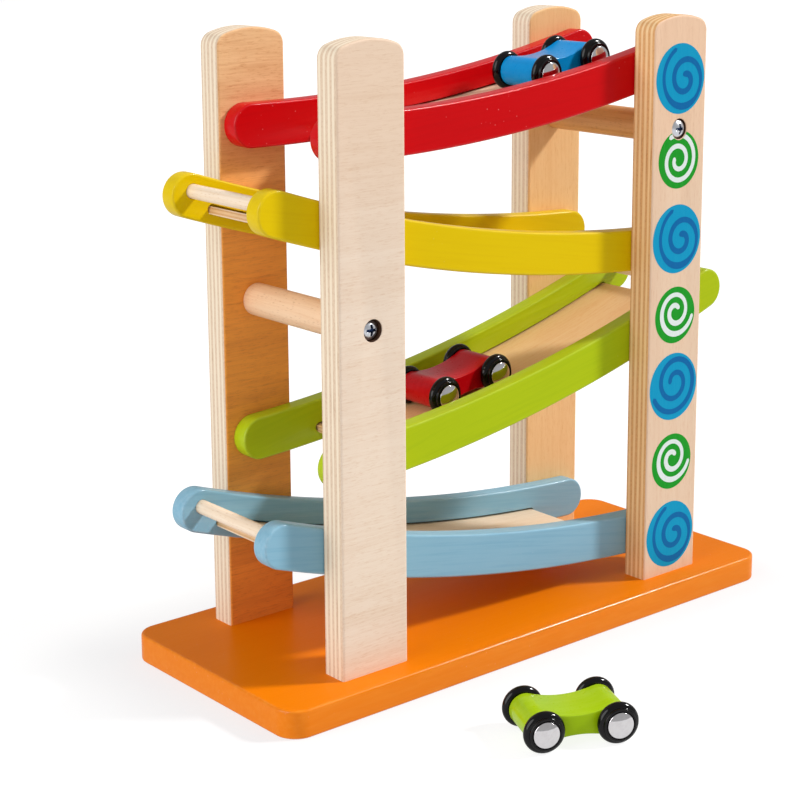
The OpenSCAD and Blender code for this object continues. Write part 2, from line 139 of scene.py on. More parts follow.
class Wire:
    """The value of a node's socket. Python's operators on it add Math nodes."""

    def __init__(self, graph: Graph, socket: bpy.types.NodeSocket) -> None:
        """Keeps the tree and the socket."""
        self.graph = graph
        self.socket = socket

    def math(self, operation: str, *terms: Wire | float) -> Wire:
        """Adds one Math node.

        Args:
            operation: The node's operation.
            *terms: The values of its sockets, in order.

        Returns:
            The result.
        """
        return self.graph.out("ShaderNodeMath", {"operation": operation}, dict(enumerate(terms)))

    def __add__(self, other: Wire | float) -> Wire:
        """Sum."""
        return self.math("ADD", self, other)

    def __radd__(self, other: float) -> Wire:
        """Sum with a number first."""
        return self.math("ADD", other, self)

    def __sub__(self, other: Wire | float) -> Wire:
        """Difference."""
        return self.math("SUBTRACT", self, other)

    def __rsub__(self, other: float) -> Wire:
        """Difference from a number."""
        return self.math("SUBTRACT", other, self)

    def __mul__(self, other: Wire | float) -> Wire:
        """Product."""
        return self.math("MULTIPLY", self, other)

    def __rmul__(self, other: float) -> Wire:
        """Product with a number first."""
        return self.math("MULTIPLY", other, self)

    def __truediv__(self, other: Wire | float) -> Wire:
        """Quotient."""
        return self.math("DIVIDE", self, other)

    def __abs__(self) -> Wire:
        """Size without sign."""
        return self.math("ABSOLUTE", self)

    def sine(self) -> Wire:
        """Sine of an angle in radians."""
        return self.math("SINE", self)

    def root(self) -> Wire:
        """Square root."""
        return self.math("SQRT", self)

    def sign(self) -> Wire:
        """1 for a positive value and -1 for a negative one."""
        return self.math("SIGN", self)

    def above(self, limit: float) -> Wire:
        """1 where the value is above a limit, and 0 elsewhere."""
        return self.math("GREATER_THAN", self, limit)

    def least(self, other: Wire | float) -> Wire:
        """The lesser of two values."""
        return self.math("MINIMUM", self, other)

    def most(self, other: Wire | float) -> Wire:
        """The greater of two values."""
        return self.math("MAXIMUM", self, other)

    def part(self) -> Wire:
        """What is left above the whole number below."""
        return self.math("FRACT", self)

    def rise(self, low: float, high: float) -> Wire:
        """A soft step from 0 at low to 1 at high, or from 1 to 0 where low is the higher one.

        Args:
            low: Where it starts.
            high: Where it ends.

        Returns:
            The step.
        """
        settings = {"interpolation_type": "SMOOTHSTEP"}
        start, end = (0.0, 1.0) if low < high else (1.0, 0.0)
        values = {0: self, 1: min(low, high), 2: max(low, high), 3: start, 4: end}
        return self.graph.out("ShaderNodeMapRange", settings, values)


class Graph:
    """A node tree that is written as calls and expressions."""

    def __init__(self, tree: bpy.types.NodeTree) -> None:
        """Keeps the tree."""
        self.tree = tree

    def add(
        self, kind: str, settings: dict[str, Any] | None = None, values: dict | None = None
    ) -> bpy.types.Node:
        """Adds a node, sets it up and then feeds its sockets.

        Args:
            kind: The node's type.
            settings: Its own settings, which may change its sockets. "knots" is a curve's points.
            values: A number, colour, vector, Wire or socket for each socket, by name or number.

        Returns:
            The node.
        """
        node = self.tree.nodes.new(kind)
        for key, value in (settings or {}).items():
            if key == "knots":
                self.set_knots(node, value)
            else:
                setattr(node, key, value)
        for key, value in (values or {}).items():
            self.feed(node.inputs[key], value)
        return node

    def feed(self, socket: bpy.types.NodeSocket, value: Any) -> None:
        """Links a Wire or a socket to a socket, or sets a plain value on it.

        Args:
            socket: The socket that is fed.
            value: A Wire, a socket or a plain value.
        """
        if isinstance(value, Wire):
            self.tree.links.new(value.socket, socket)
        elif isinstance(value, bpy.types.NodeSocket):
            self.tree.links.new(value, socket)
        else:
            socket.default_value = value

    @staticmethod
    def set_knots(node: bpy.types.Node, knots: Sequence[tuple[float, float]]) -> None:
        """Gives a curve its points, where the first and the last are at 0 and 1.

        Args:
            node: The curve's node.
            knots: The place and the height of each point.
        """
        points = node.mapping.curves[0].points
        points[0].location, points[1].location = knots[0], knots[-1]
        for knot in knots[1:-1]:
            points.new(*knot)
        node.mapping.update()

    def out(
        self,
        kind: str,
        settings: dict[str, Any] | None = None,
        values: dict | None = None,
        socket: int | str = 0,
    ) -> Wire:
        """Adds a node as add() does, and gives one of its outputs, by name or number."""
        return Wire(self, self.add(kind, settings, values).outputs[socket])

    def vector(self, operation: str, *terms: Any) -> bpy.types.NodeSocket:
        """Adds a Vector Math node and gives its vector."""
        values = dict(enumerate(terms))
        return self.add("ShaderNodeVectorMath", {"operation": operation}, values).outputs[0]

    def split(self, vector: Any) -> tuple[Wire, Wire, Wire]:
        """The three parts of a vector."""
        outputs = self.add("ShaderNodeSeparateXYZ", None, {0: vector}).outputs
        return Wire(self, outputs[0]), Wire(self, outputs[1]), Wire(self, outputs[2])

    def join(self, x: Any, y: Any, z: Any) -> bpy.types.NodeSocket:
        """A vector of three parts."""
        return self.add("ShaderNodeCombineXYZ", None, {0: x, 1: y, 2: z}).outputs[0]


class Paint(Graph):
    """The shader tree of one material, whose patterns' scales are features per metre."""

    def __init__(self, name: str, on_board: bool) -> None:
        """Starts a material.

        Args:
            name: The material's name.
            on_board: Whether patterns follow the piece's own board attribute, not its place in
                the frame.
        """
        self.material = bpy.data.materials.new(name)
        self.material.use_nodes = True
        super().__init__(self.material.node_tree)
        self.tree.nodes.clear()
        if on_board:
            board = self.add("ShaderNodeAttribute", {"attribute_name": BOARD})
            self.place = board.outputs["Vector"]
        else:
            self.place = self.add("ShaderNodeTexCoord").outputs["Object"]

    def height(self) -> Wire:
        """The height above the table."""
        return self.split(self.add("ShaderNodeTexCoord").outputs["Object"])[2]

    def worn(self) -> Wire:
        """1 along the piece's eased edges, where it wears, and over a screw head's cross, where the
        metal paints recess shade; 0 on its faces.
        """
        return self.out("ShaderNodeAttribute", {"attribute_name": WEAR_AND_RECESS_SHADE}, None, "Fac")

    def noise(
        self, scales: Sequence[float], detail: float = 3.0, rough: float = 0.55, warp: float = 0.0
    ) -> Wire:
        """Noise on the piece's own place.

        Args:
            scales: Features per metre along the board, through it and across it.
            detail: Number of finer layers.
            rough: Weight of the finer layers.
            warp: Distortion of the pattern.

        Returns:
            A value about a half.
        """
        spot = self.vector("MULTIPLY", self.place, tuple(scales))
        values = {"Vector": spot, "Scale": 1.0, "Detail": detail, "Roughness": rough}
        return self.out("ShaderNodeTexNoise", None, {**values, "Distortion": warp})

    def cells(self, scales: Sequence[float]) -> tuple[Wire, Wire]:
        """Cells scattered over the piece: the distance to the nearest one and its own chance.

        Args:
            scales: Cells per metre along the board, through it and across it.

        Returns:
            The distance and the chance.
        """
        spot = self.vector("MULTIPLY", self.place, tuple(scales))
        node = self.add("ShaderNodeTexVoronoi", None, {"Vector": spot, "Scale": 1.0})
        chance, _, _ = self.split(node.outputs["Color"])
        return Wire(self, node.outputs["Distance"]), chance

    def mix(self, share: Wire | float, first: Any, second: Any) -> bpy.types.NodeSocket:
        """Blends two colours, where a share of 1 is the second one."""
        node = self.add("ShaderNodeMix", {"data_type": "RGBA"}, {0: share, 6: first, 7: second})
        return node.outputs[2]

    def coat(self, values: dict[str, Any], height: Wire | None = None) -> bpy.types.Material:
        """Ends the tree in a Principled shader.

        Args:
            values: The shader's sockets by name.
            height: Relief of the surface in metres.

        Returns:
            The finished material.
        """
        shader = self.add("ShaderNodeBsdfPrincipled", None, values)
        if height is not None:
            relief = {"Strength": 1.0, "Distance": 1.0, "Height": height}
            bump = self.add("ShaderNodeBump", None, relief)
            self.feed(shader.inputs["Normal"], bump.outputs[0])
        self.add("ShaderNodeOutputMaterial", None, {"Surface": shader.outputs[0]})
        return self.material


@dataclass(frozen=True)
class Lacquer:
    """Satin lacquer on wood: the grain shows through it, its edges are rubbed and it holds dust.

    Reliefs are the heights of its bumps, here and in the other finishes.
    """

    name: str
    colour: Colour
    deep: Colour
    edge: Colour
    roughness: float
    coat: float
    grain: float
    wear: float = 0.3
    dust: float = 0.1
    dust_tone: Colour = srgb(255, 240, 236)
    relief: float = 0.012 * MM
    nib_relief: float = 0.03 * MM
    sheen: float = 0.06

    def build(self) -> bpy.types.Material:
        """Makes the material.

        Returns:
            The material.
        """
        paint = Paint(self.name, True)
        streak = paint.noise((22, 700, 700), 4.0, 0.6, 0.3)
        pore = paint.noise((140, 2600, 2600), 2.0, 0.5)
        cloud = paint.noise((16, 24, 24), 2.0)
        peel = paint.noise((900, 900, 900), 1.0)
        distance, chance = paint.cells((230, 230, 230))
        nib = distance.rise(0.16, 0.05) * chance.rise(0.86, 0.9)
        shade = (streak.rise(0.42, 0.72) * 0.7 + cloud.rise(0.4, 0.7) * 0.3) * self.grain
        body = paint.mix(shade, self.colour, self.deep)
        rubbed = paint.worn() * paint.noise((60, 500, 500), 3.0).rise(0.35, 0.75) * self.wear
        rubbed_body = paint.mix(rubbed, body, self.edge)
        grit_distance, grit_chance = paint.cells((800, 800, 800))
        grit = grit_distance.rise(0.3, 0.12) * grit_chance.rise(0.94, 0.99) * cloud.rise(0.5, 0.6)
        base = paint.mix(grit * self.dust, rubbed_body, self.dust_tone)
        rough = self.roughness + (peel - 0.5) * 0.12 + (streak - 0.5) * 0.1
        height = (streak * 0.8 + pore * 0.35 + peel * 0.5) * self.relief + nib * self.nib_relief
        values = {
            "Base Color": base,
            "Roughness": rough,
            "Coat Weight": paint.worn() * 0.5 + self.coat,
            "Coat Roughness": 0.16,
            "Specular IOR Level": self.sheen,
        }
        return paint.coat(values, height)


@dataclass(frozen=True)
class PlyTones:
    """The colours of plywood's cut edges: plies along the cut, plies across it, and the glue."""

    light: Colour
    dark: Colour
    glue: Colour


@dataclass(frozen=True)
class Plywood:
    """Birch plywood: a face veneer with fine flecks, and the plies' stripes on the cut edges. Low
    down the veneer blends into a foot tone of painted bounce light and shade.
    """

    name: str
    thickness: float
    plies: int
    grain: Grain
    face: Colour
    fleck: Colour
    # Foot tone: painted bounce light and shade low on the piece.
    foot: Colour
    edges: PlyTones
    figure: float
    roughness: float = 0.55
    # Heights over which the veneer blends into the painted bounce tone.
    foot_low: float = 0.17
    foot_high: float = 0.25
    skin_t: float = 0.6 * MM
    skin_blend: float = 0.35 * MM
    relief: float = 0.025 * MM
    sheen: float = 0.2

    def veneer(self, paint: Paint) -> tuple[bpy.types.NodeSocket, Wire]:
        """The face veneer's colour and its figure, from 0 to 1.

        Args:
            paint: The material's tree.

        Returns:
            The colour and the figure.
        """
        across = self.grain is Grain.ACROSS
        streak = paint.noise((26, 800, 800) if across else (800, 800, 26), 4.0, 0.62, 0.6)
        fine = paint.noise((260, 2200, 2200) if across else (2200, 2200, 260), 3.0, 0.7)
        band = paint.noise((7, 70, 70) if across else (70, 70, 7), 3.0, 0.5, 0.8)
        flecks = fine.rise(0.5, 0.72)
        share = (streak.rise(0.42, 0.72) + band.rise(0.42, 0.66) * 0.8) * self.figure + flecks * 0.4
        # Painted bounce light and shade: below the upper height the veneer blends into the foot
        # tone.
        ground = paint.mix(paint.height().rise(self.foot_high, self.foot_low), self.face, self.foot)
        return paint.mix(share.least(1.0), ground, self.fleck), streak * 0.5 + fine * 0.5

    def build(self) -> bpy.types.Material:
        """Makes the material.

        Returns:
            The material.
        """
        paint = Paint(self.name, True)
        _, through, _ = paint.split(paint.place)
        skin, figure = self.veneer(paint)
        ply = self.thickness / self.plies
        sway = (paint.noise((10, 10, 10), 2.0) - 0.5) * (0.5 * MM)
        uneven = (paint.noise((6, 300, 6), 1.0) - 0.5) * (0.9 * ply)
        layer = (through + sway + uneven + self.thickness / 2) / ply
        turned = (layer * 0.5).part().rise(0.46, 0.54)
        seam = abs(layer.part() - 0.5).rise(0.4, 0.5)
        fibre = paint.noise((60, 2400, 60), 3.0, 0.6)
        ends = paint.noise((900, 1500, 900), 2.0, 0.6)
        gap = paint.noise((40, 900, 40), 1.0).rise(0.68, 0.76) * (1 - turned)
        long_ply = paint.mix(fibre.rise(0.42, 0.7) * 0.3, self.edges.light, self.edges.dark)
        end_ply = paint.mix(ends.rise(0.4, 0.7) * 0.3, self.edges.dark, self.edges.glue)
        glue = (seam * 0.35 * fibre.rise(0.35, 0.6) + gap * 0.7).least(1.0)
        stripes = paint.mix(glue, paint.mix(turned, end_ply, long_ply), self.edges.glue)
        veneer_in = self.thickness / 2 - self.skin_t
        outside = abs(through).rise(veneer_in, veneer_in + self.skin_blend)
        base = paint.mix(outside, stripes, skin)
        rough = self.roughness + (figure - 0.5) * 0.15 + (1 - outside) * 0.08
        cut_relief = ends * (0.03 * MM) - turned * (0.02 * MM) - gap * (0.05 * MM)
        height = figure * self.relief + (1 - outside) * cut_relief
        values = {"Base Color": base, "Roughness": rough, "Specular IOR Level": self.sheen}
        return paint.coat(values, height)


@dataclass(frozen=True)
class TurnedWood:
    """Bare wood of a dowel, or the dark skin of painted shadow in a bore: fine grain along the axis,
    with short darker flecks.
    """

    name: str
    light: Colour
    dark: Colour
    fleck: Colour
    roughness: float = 0.5
    on_board: bool = True
    relief: float = 0.025 * MM
    sheen: float = 0.35

    def build(self) -> bpy.types.Material:
        """Makes the material.

        Returns:
            The material.
        """
        paint = Paint(self.name, self.on_board)
        streak = paint.noise((18, 650, 650), 4.0, 0.6, 0.3)
        fine = paint.noise((120, 2600, 2600), 2.0, 0.55)
        distance, chance = paint.cells((330, 2300, 2300))
        fleck = distance.rise(0.34, 0.14) * chance.rise(0.5, 0.62)
        share = streak.rise(0.38, 0.74) * 0.75 + fine.rise(0.5, 0.8) * 0.25
        base = paint.mix(fleck * 0.55, paint.mix(share, self.light, self.dark), self.fleck)
        rough = self.roughness + (streak - 0.5) * 0.16
        height = (streak + (fine - fleck) * 0.48) * self.relief
        values = {"Base Color": base, "Roughness": rough, "Specular IOR Level": self.sheen}
        return paint.coat(values, height)


@dataclass(frozen=True)
class GlossBlack:
    """Glossy black paint on turned wheels, with faint turning marks."""

    name: str
    colour: Colour
    scuff: Colour
    roughness: float = 0.13
    waviness: float = 0.3 * MM
    mark_depth: float = 0.0015 * MM
    mark_rate: float = 9000.0
    sheen: float = 0.3

    def build(self) -> bpy.types.Material:
        """Makes the material.

        Returns:
            The material.
        """
        paint = Paint(self.name, True)
        _, across, up = paint.split(paint.place)
        radius = (across * across + up * up).root()
        marks = (radius * self.mark_rate).sine() * self.mark_depth
        rings = paint.noise((90, 90, 90), 2.0) * self.waviness + marks
        scuffs = paint.noise((240, 240, 240), 4.0, 0.65).rise(0.6, 0.78)
        dust = paint.noise((2500, 2500, 2500), 1.0)
        base = paint.mix(scuffs * 0.2, self.colour, self.scuff)
        rough = self.roughness + scuffs * 0.12 + (dust - 0.5) * 0.04
        values = {"Base Color": base, "Roughness": rough, "Specular IOR Level": self.sheen}
        return paint.coat(values, rings + dust * (0.003 * MM))


@dataclass(frozen=True)
class Metal:
    """Bare or plated metal with a fine haze, with painted shade where a recess is sunk into it."""

    name: str
    colour: Colour
    tint: Colour
    roughness: float
    haze_relief: float = 0.004 * MM
    on_board: bool = True
    # Colour of the painted shade in a marked recess, such as a screw head's cross.
    sunk: Colour = (0.02, 0.035, 0.09, 1.0)

    def build(self) -> bpy.types.Material:
        """Makes the material.

        Returns:
            The material.
        """
        paint = Paint(self.name, self.on_board)
        cloud = paint.noise((500, 500, 500), 3.0, 0.6)
        haze = paint.noise((3500, 3500, 3500), 2.0, 0.6)
        plated = paint.mix(cloud.rise(0.4, 0.7) * 0.6, self.colour, self.tint)
        # Painted shade: the marked recess turns dark.
        base = paint.mix(paint.worn(), plated, self.sunk)
        rough = self.roughness + (cloud - 0.5) * 0.1 + (haze - 0.5) * 0.06
        values = {"Base Color": base, "Roughness": rough, "Metallic": 1.0}
        return paint.coat(values, haze * self.haze_relief)


@dataclass(frozen=True)
class Ink:
    """Screen-printed ink on a sanded face, thin enough for the grain to show faintly."""

    name: str
    colour: Colour
    thin: Colour
    roughness: float = 0.45
    sheen: float = 0.1

    def build(self) -> bpy.types.Material:
        """Makes the material.

        Returns:
            The material.
        """
        paint = Paint(self.name, False)
        streak = paint.noise((900, 60, 70), 3.0, 0.6)
        speck = paint.noise((1800, 1800, 1800), 2.0, 0.6)
        share = streak.rise(0.4, 0.7) * 0.35 + speck.rise(0.55, 0.75) * 0.25
        base = paint.mix(share, self.colour, self.thin)
        rough = self.roughness + (speck - 0.5) * 0.15
        values = {"Base Color": base, "Roughness": rough, "Specular IOR Level": self.sheen}
        return paint.coat(values, streak * (0.012 * MM) + speck * (0.006 * MM))


Finish = Lacquer | Plywood | TurnedWood | GlossBlack | Metal | Ink

BASE_LACQUER = Lacquer(
    "orange_satin", srgb(236, 126, 2), srgb(226, 108, 1), srgb(248, 164, 60),
    roughness=0.4, coat=0.04, grain=0.14,
)
RED_LACQUER = Lacquer(
    "red_satin", srgb(206, 2, 10), srgb(186, 2, 8), srgb(224, 40, 50),
    roughness=0.38, coat=0.04, grain=0.3, dust=0.16,
)
YELLOW_LACQUER = Lacquer(
    "yellow_satin", srgb(226, 194, 0), srgb(214, 174, 0), srgb(238, 214, 40),
    roughness=0.44, coat=0.02, grain=0.3,
)
GREEN_LACQUER = Lacquer(
    "green_satin", srgb(176, 196, 18), srgb(150, 180, 16), srgb(200, 214, 84),
    roughness=0.44, coat=0.02, grain=0.35,
)
BLUE_LACQUER = Lacquer(
    "pale_blue_satin", srgb(138, 184, 206), srgb(104, 160, 190), srgb(196, 216, 228),
    roughness=0.44, coat=0.04, grain=0.45,
)
BLUE_CAR_LACQUER = Lacquer(
    "bright_blue_gloss", srgb(0, 142, 212), srgb(0, 124, 196), srgb(40, 160, 216),
    roughness=0.3, coat=0.08, grain=0.25,
)
RED_CAR_LACQUER = Lacquer(
    "red_gloss", srgb(190, 2, 16), srgb(164, 2, 12), srgb(214, 50, 60),
    roughness=0.3, coat=0.08, grain=0.25,
)
GREEN_CAR_LACQUER = Lacquer(
    "lime_gloss", srgb(162, 196, 14), srgb(142, 182, 12), srgb(190, 214, 80),
    roughness=0.3, coat=0.1, grain=0.25,
)

POST_PLY_T = 12.3 * MM
POST_PLIES = 9
FLOOR_PLY_T = 3.2 * MM
FLOOR_PLIES = 3
FLOOR_FIGURE = 0.22
COUNTERBORE_R = 4.65 * MM
COUNTERBORE_DEPTH = {Side.LEFT: 3 * MM, Side.RIGHT: 1.6 * MM}
PALE_EDGE = PlyTones(srgb(242, 226, 202), srgb(226, 202, 176), srgb(186, 148, 116))
# The front right post's cut edges, warmer and darker than the others: painted shade with warm bounce
# light.
PAINTED_SHADE_EDGE = PlyTones(srgb(240, 204, 154), srgb(220, 168, 112), srgb(180, 116, 64))
FLOOR_EDGE = PlyTones(srgb(236, 200, 156), srgb(222, 178, 130), srgb(190, 138, 92))


def post_ply(
    name: str, grain: Grain, tones: Sequence[Colour], edges: PlyTones, figure: float
) -> Plywood:
    """The plywood of one post.

    Args:
        name: The finish's name.
        grain: Which way the veneer's grain runs.
        tones: The colours of the veneer, of its flecks and of its foot, which is painted bounce
            light and shade.
        edges: The colours of the cut edges.
        figure: How strong the grain is.

    Returns:
        The finish.
    """
    return Plywood(name, POST_PLY_T, POST_PLIES, grain, *tones, edges, figure)


def floor_ply(name: str, tones: Sequence[Colour]) -> Plywood:
    """The thin plywood of one floor, of the colours of its veneer, its flecks and its foot, which is
    painted bounce light and shade.
    """
    return Plywood(name, FLOOR_PLY_T, FLOOR_PLIES, Grain.ACROSS, *tones, FLOOR_EDGE, FLOOR_FIGURE)


# Each veneer's third colour is its foot tone, painted bounce light and shade; on the rear left post
# it is deep amber.
PALE_BIRCH = (srgb(236, 209, 184), srgb(214, 176, 142), srgb(238, 218, 198))
AMBER_BIRCH = (srgb(244, 198, 146), srgb(196, 114, 56), srgb(250, 166, 72))
ROSY_BIRCH = (srgb(240, 202, 170), srgb(216, 170, 134), srgb(232, 202, 174))
HONEY_BIRCH = (srgb(244, 198, 140), srgb(224, 164, 102), srgb(246, 204, 148))
POST_PLY = {
    (Side.LEFT, Row.FRONT): post_ply("pale_birch_ply", Grain.ACROSS, PALE_BIRCH, PALE_EDGE, 0.2),
    (Side.LEFT, Row.REAR): post_ply("amber_birch_ply", Grain.ACROSS, AMBER_BIRCH, PALE_EDGE, 0.26),
    (Side.RIGHT, Row.FRONT): post_ply("rosy_birch_ply", Grain.UPRIGHT, ROSY_BIRCH, PAINTED_SHADE_EDGE, 0.18),
    (Side.RIGHT, Row.REAR): post_ply("honey_birch_ply", Grain.UPRIGHT, HONEY_BIRCH, PALE_EDGE, 0.2),
}
# Each floor veneer's third colour is its foot tone, painted bounce light and shade on the lower
# floors.
FLOOR_BIRCH = (srgb(240, 214, 182), srgb(222, 188, 148), srgb(242, 220, 194))
WARM_FLOOR_BIRCH = (srgb(246, 202, 148), srgb(230, 168, 106), srgb(246, 206, 154))
FLOOR_PLY = floor_ply("thin_ply", FLOOR_BIRCH)
WARM_FLOOR_PLY = floor_ply("warm_thin_ply", WARM_FLOOR_BIRCH)
CROSSBAR_BEECH = {
    Side.LEFT: TurnedWood(
        "beech_dowel", srgb(240, 204, 168), srgb(226, 180, 138), srgb(190, 140, 98)
    ),
    # The right crossbar's beech: a warmer, darker copy of the left one, with painted shade.
    Side.RIGHT: TurnedWood(
        "amber_beech_dowel", srgb(226, 172, 112), srgb(208, 146, 86), srgb(170, 110, 62)
    ),
}
# A dark skin in each counterbore: painted shadow between a screw head and its bore.
PAINTED_SHADOW_BIRCH = TurnedWood(
    "scorched_birch", srgb(84, 54, 36), srgb(58, 36, 24), srgb(40, 26, 18), roughness=0.7
)
STOP_BIRCH = TurnedWood(
    "white_birch_dowel", srgb(248, 228, 204), srgb(236, 208, 176), srgb(214, 176, 138)
)
HIDDEN_PIN_BEECH = TurnedWood(
    "pin_beech", srgb(236, 200, 160), srgb(220, 176, 132), srgb(190, 140, 98),
    roughness=0.6, on_board=False,
)
WHEEL_BLACK = GlossBlack("gloss_black", srgb(7, 6, 8), srgb(26, 25, 28))
CAP_CHROME = Metal(
    "polished_cap", srgb(236, 234, 236), srgb(226, 222, 224),
    roughness=0.09, haze_relief=0.0015 * MM,
)
SCREW_ZINC = Metal("bright_zinc", srgb(232, 234, 240), srgb(202, 212, 226), roughness=0.3)
AXLE_STEEL = Metal(
    "drawn_steel", srgb(196, 198, 202), srgb(168, 170, 176), roughness=0.3, on_board=False
)
BASE_SCREW_ZINC = Metal(
    "sunk_zinc", srgb(200, 204, 212), srgb(168, 180, 200), roughness=0.32, on_board=False
)
BLUE_INK = Ink("blue_ink", srgb(0, 150, 194), srgb(20, 158, 196))
BLUE_STROKE_INK = Ink("deep_blue_ink", srgb(0, 101, 163), srgb(2, 110, 171))
GREEN_INK = Ink("green_ink", srgb(20, 150, 34), srgb(44, 162, 50))
WHITE_STROKE_INK = Ink("white_ink", srgb(226, 235, 232), srgb(210, 224, 218))


@dataclass(frozen=True)
class Station:
    """A point of an outline, and how it moves for each metre that the outline is drawn in."""

    point: tuple[float, float]
    inward: tuple[float, float]

    def at(self, inset: float) -> tuple[float, float]:
        """The point once the outline is drawn in."""
        return (self.point[0] + inset * self.inward[0], self.point[1] + inset * self.inward[1])


Outline = list[Station]
Ring = list[bmesh.types.BMVert]


def arc(
    centre: tuple[float, float],
    radius: float,
    start: float,
    end: float,
    steps: int,
    bend: Bend = Bend.BULGE,
) -> Outline:
    """Stations along a round stretch of an outline, without its last point.

    Args:
        centre: The middle of the arc.
        radius: Its radius.
        start: The angle at which it starts, in radians.
        end: The angle at which it ends.
        steps: The number of stations.
        bend: Whether it bulges out or is hollowed in.

    Returns:
        The stations.
    """
    stations = []
    for k in range(steps):
        angle = start + (end - start) * k / steps
        way = (math.cos(angle), math.sin(angle))
        spot = (centre[0] + radius * way[0], centre[1] + radius * way[1])
        stations.append(Station(spot, (-bend.value * way[0], -bend.value * way[1])))
    return stations


def round_hole(centre: tuple[float, float], radius: float, steps: int = 40) -> Outline:
    """The outline of a round hole."""
    return arc(centre, radius, 0.0, FULL_TURN, steps)


def rounded_rectangle(length: float, width: float, radius: float, steps: int = 14) -> Outline:
    """A rectangle about the origin with rounded corners.

    Args:
        length: Its size along the first axis.
        width: Its size along the second axis.
        radius: The corners' radius.
        steps: Stations at each corner.

    Returns:
        The outline.
    """
    outline: Outline = []
    for k, (x, y) in enumerate(((1, -1), (1, 1), (-1, 1), (-1, -1))):
        centre = (x * (length / 2 - radius), y * (width / 2 - radius))
        start = (k - 1) * QUARTER
        outline += arc(centre, radius, start, start + QUARTER, steps)
        outline += arc(centre, radius, start + QUARTER, start + QUARTER + 1, 1)
    return outline


def bent_band(
    centre_v: float, mid_r: float, height: float, low: float, high: float, steps: int = 72
) -> Outline:
    """A stretch of a ring with round ends, in the plane of its chord.

    Args:
        centre_v: How high the ring's middle is above the origin.
        mid_r: The radius of the ring's middle line.
        height: The width of the ring.
        low: The angle from straight down to the first end's middle, in radians.
        high: The same for the second end.
        steps: Stations along each long side.

    Returns:
        The outline.
    """
    centre = (0.0, centre_v)
    ends = [(mid_r * math.sin(a), centre_v - mid_r * math.cos(a)) for a in (low, high)]
    end_steps = 26
    return (
        arc(centre, mid_r + height / 2, low - QUARTER, high - QUARTER, steps)
        + arc(ends[1], height / 2, high - QUARTER, high + QUARTER, end_steps)
        + arc(centre, mid_r - height / 2, high - QUARTER, low - QUARTER, steps, Bend.HOLLOW)
        + arc(ends[0], height / 2, low + QUARTER, low + 3 * QUARTER, end_steps)
    )


@dataclass(frozen=True)
class Pocket:
    """A hole or groove sunk into one face of a slab."""

    outline: Outline
    depth: float
    face: Face
    ease: float = 0.15 * MM


def marked_mesh() -> bmesh.types.BMesh:
    """An empty mesh whose points keep their place in the pattern and their wear.

    Returns:
        The empty mesh.
    """
    work = bmesh.new()
    work.verts.layers.float_vector.new(BOARD)
    work.verts.layers.float.new(WEAR_AND_RECESS_SHADE)
    return work


def finish_mesh(
    work: bmesh.types.BMesh, mesh: bpy.types.Mesh, placing: Matrix
) -> bpy.types.Mesh:
    """Places a closed mesh, turns its faces outwards and smooths its round stretches.

    Args:
        work: The mesh in the piece's own frame, which is used up.
        mesh: The mesh that takes the result.
        placing: From the piece's own frame to the toy's.

    Returns:
        The mesh.
    """
    bmesh.ops.transform(work, matrix=placing, verts=work.verts)
    bmesh.ops.recalc_face_normals(work, faces=work.faces)
    work.to_mesh(mesh)
    work.free()
    mesh.polygons.foreach_set("use_smooth", [True] * len(mesh.polygons))
    mesh.set_sharp_from_angle(angle=SMOOTH_ANGLE)
    return mesh


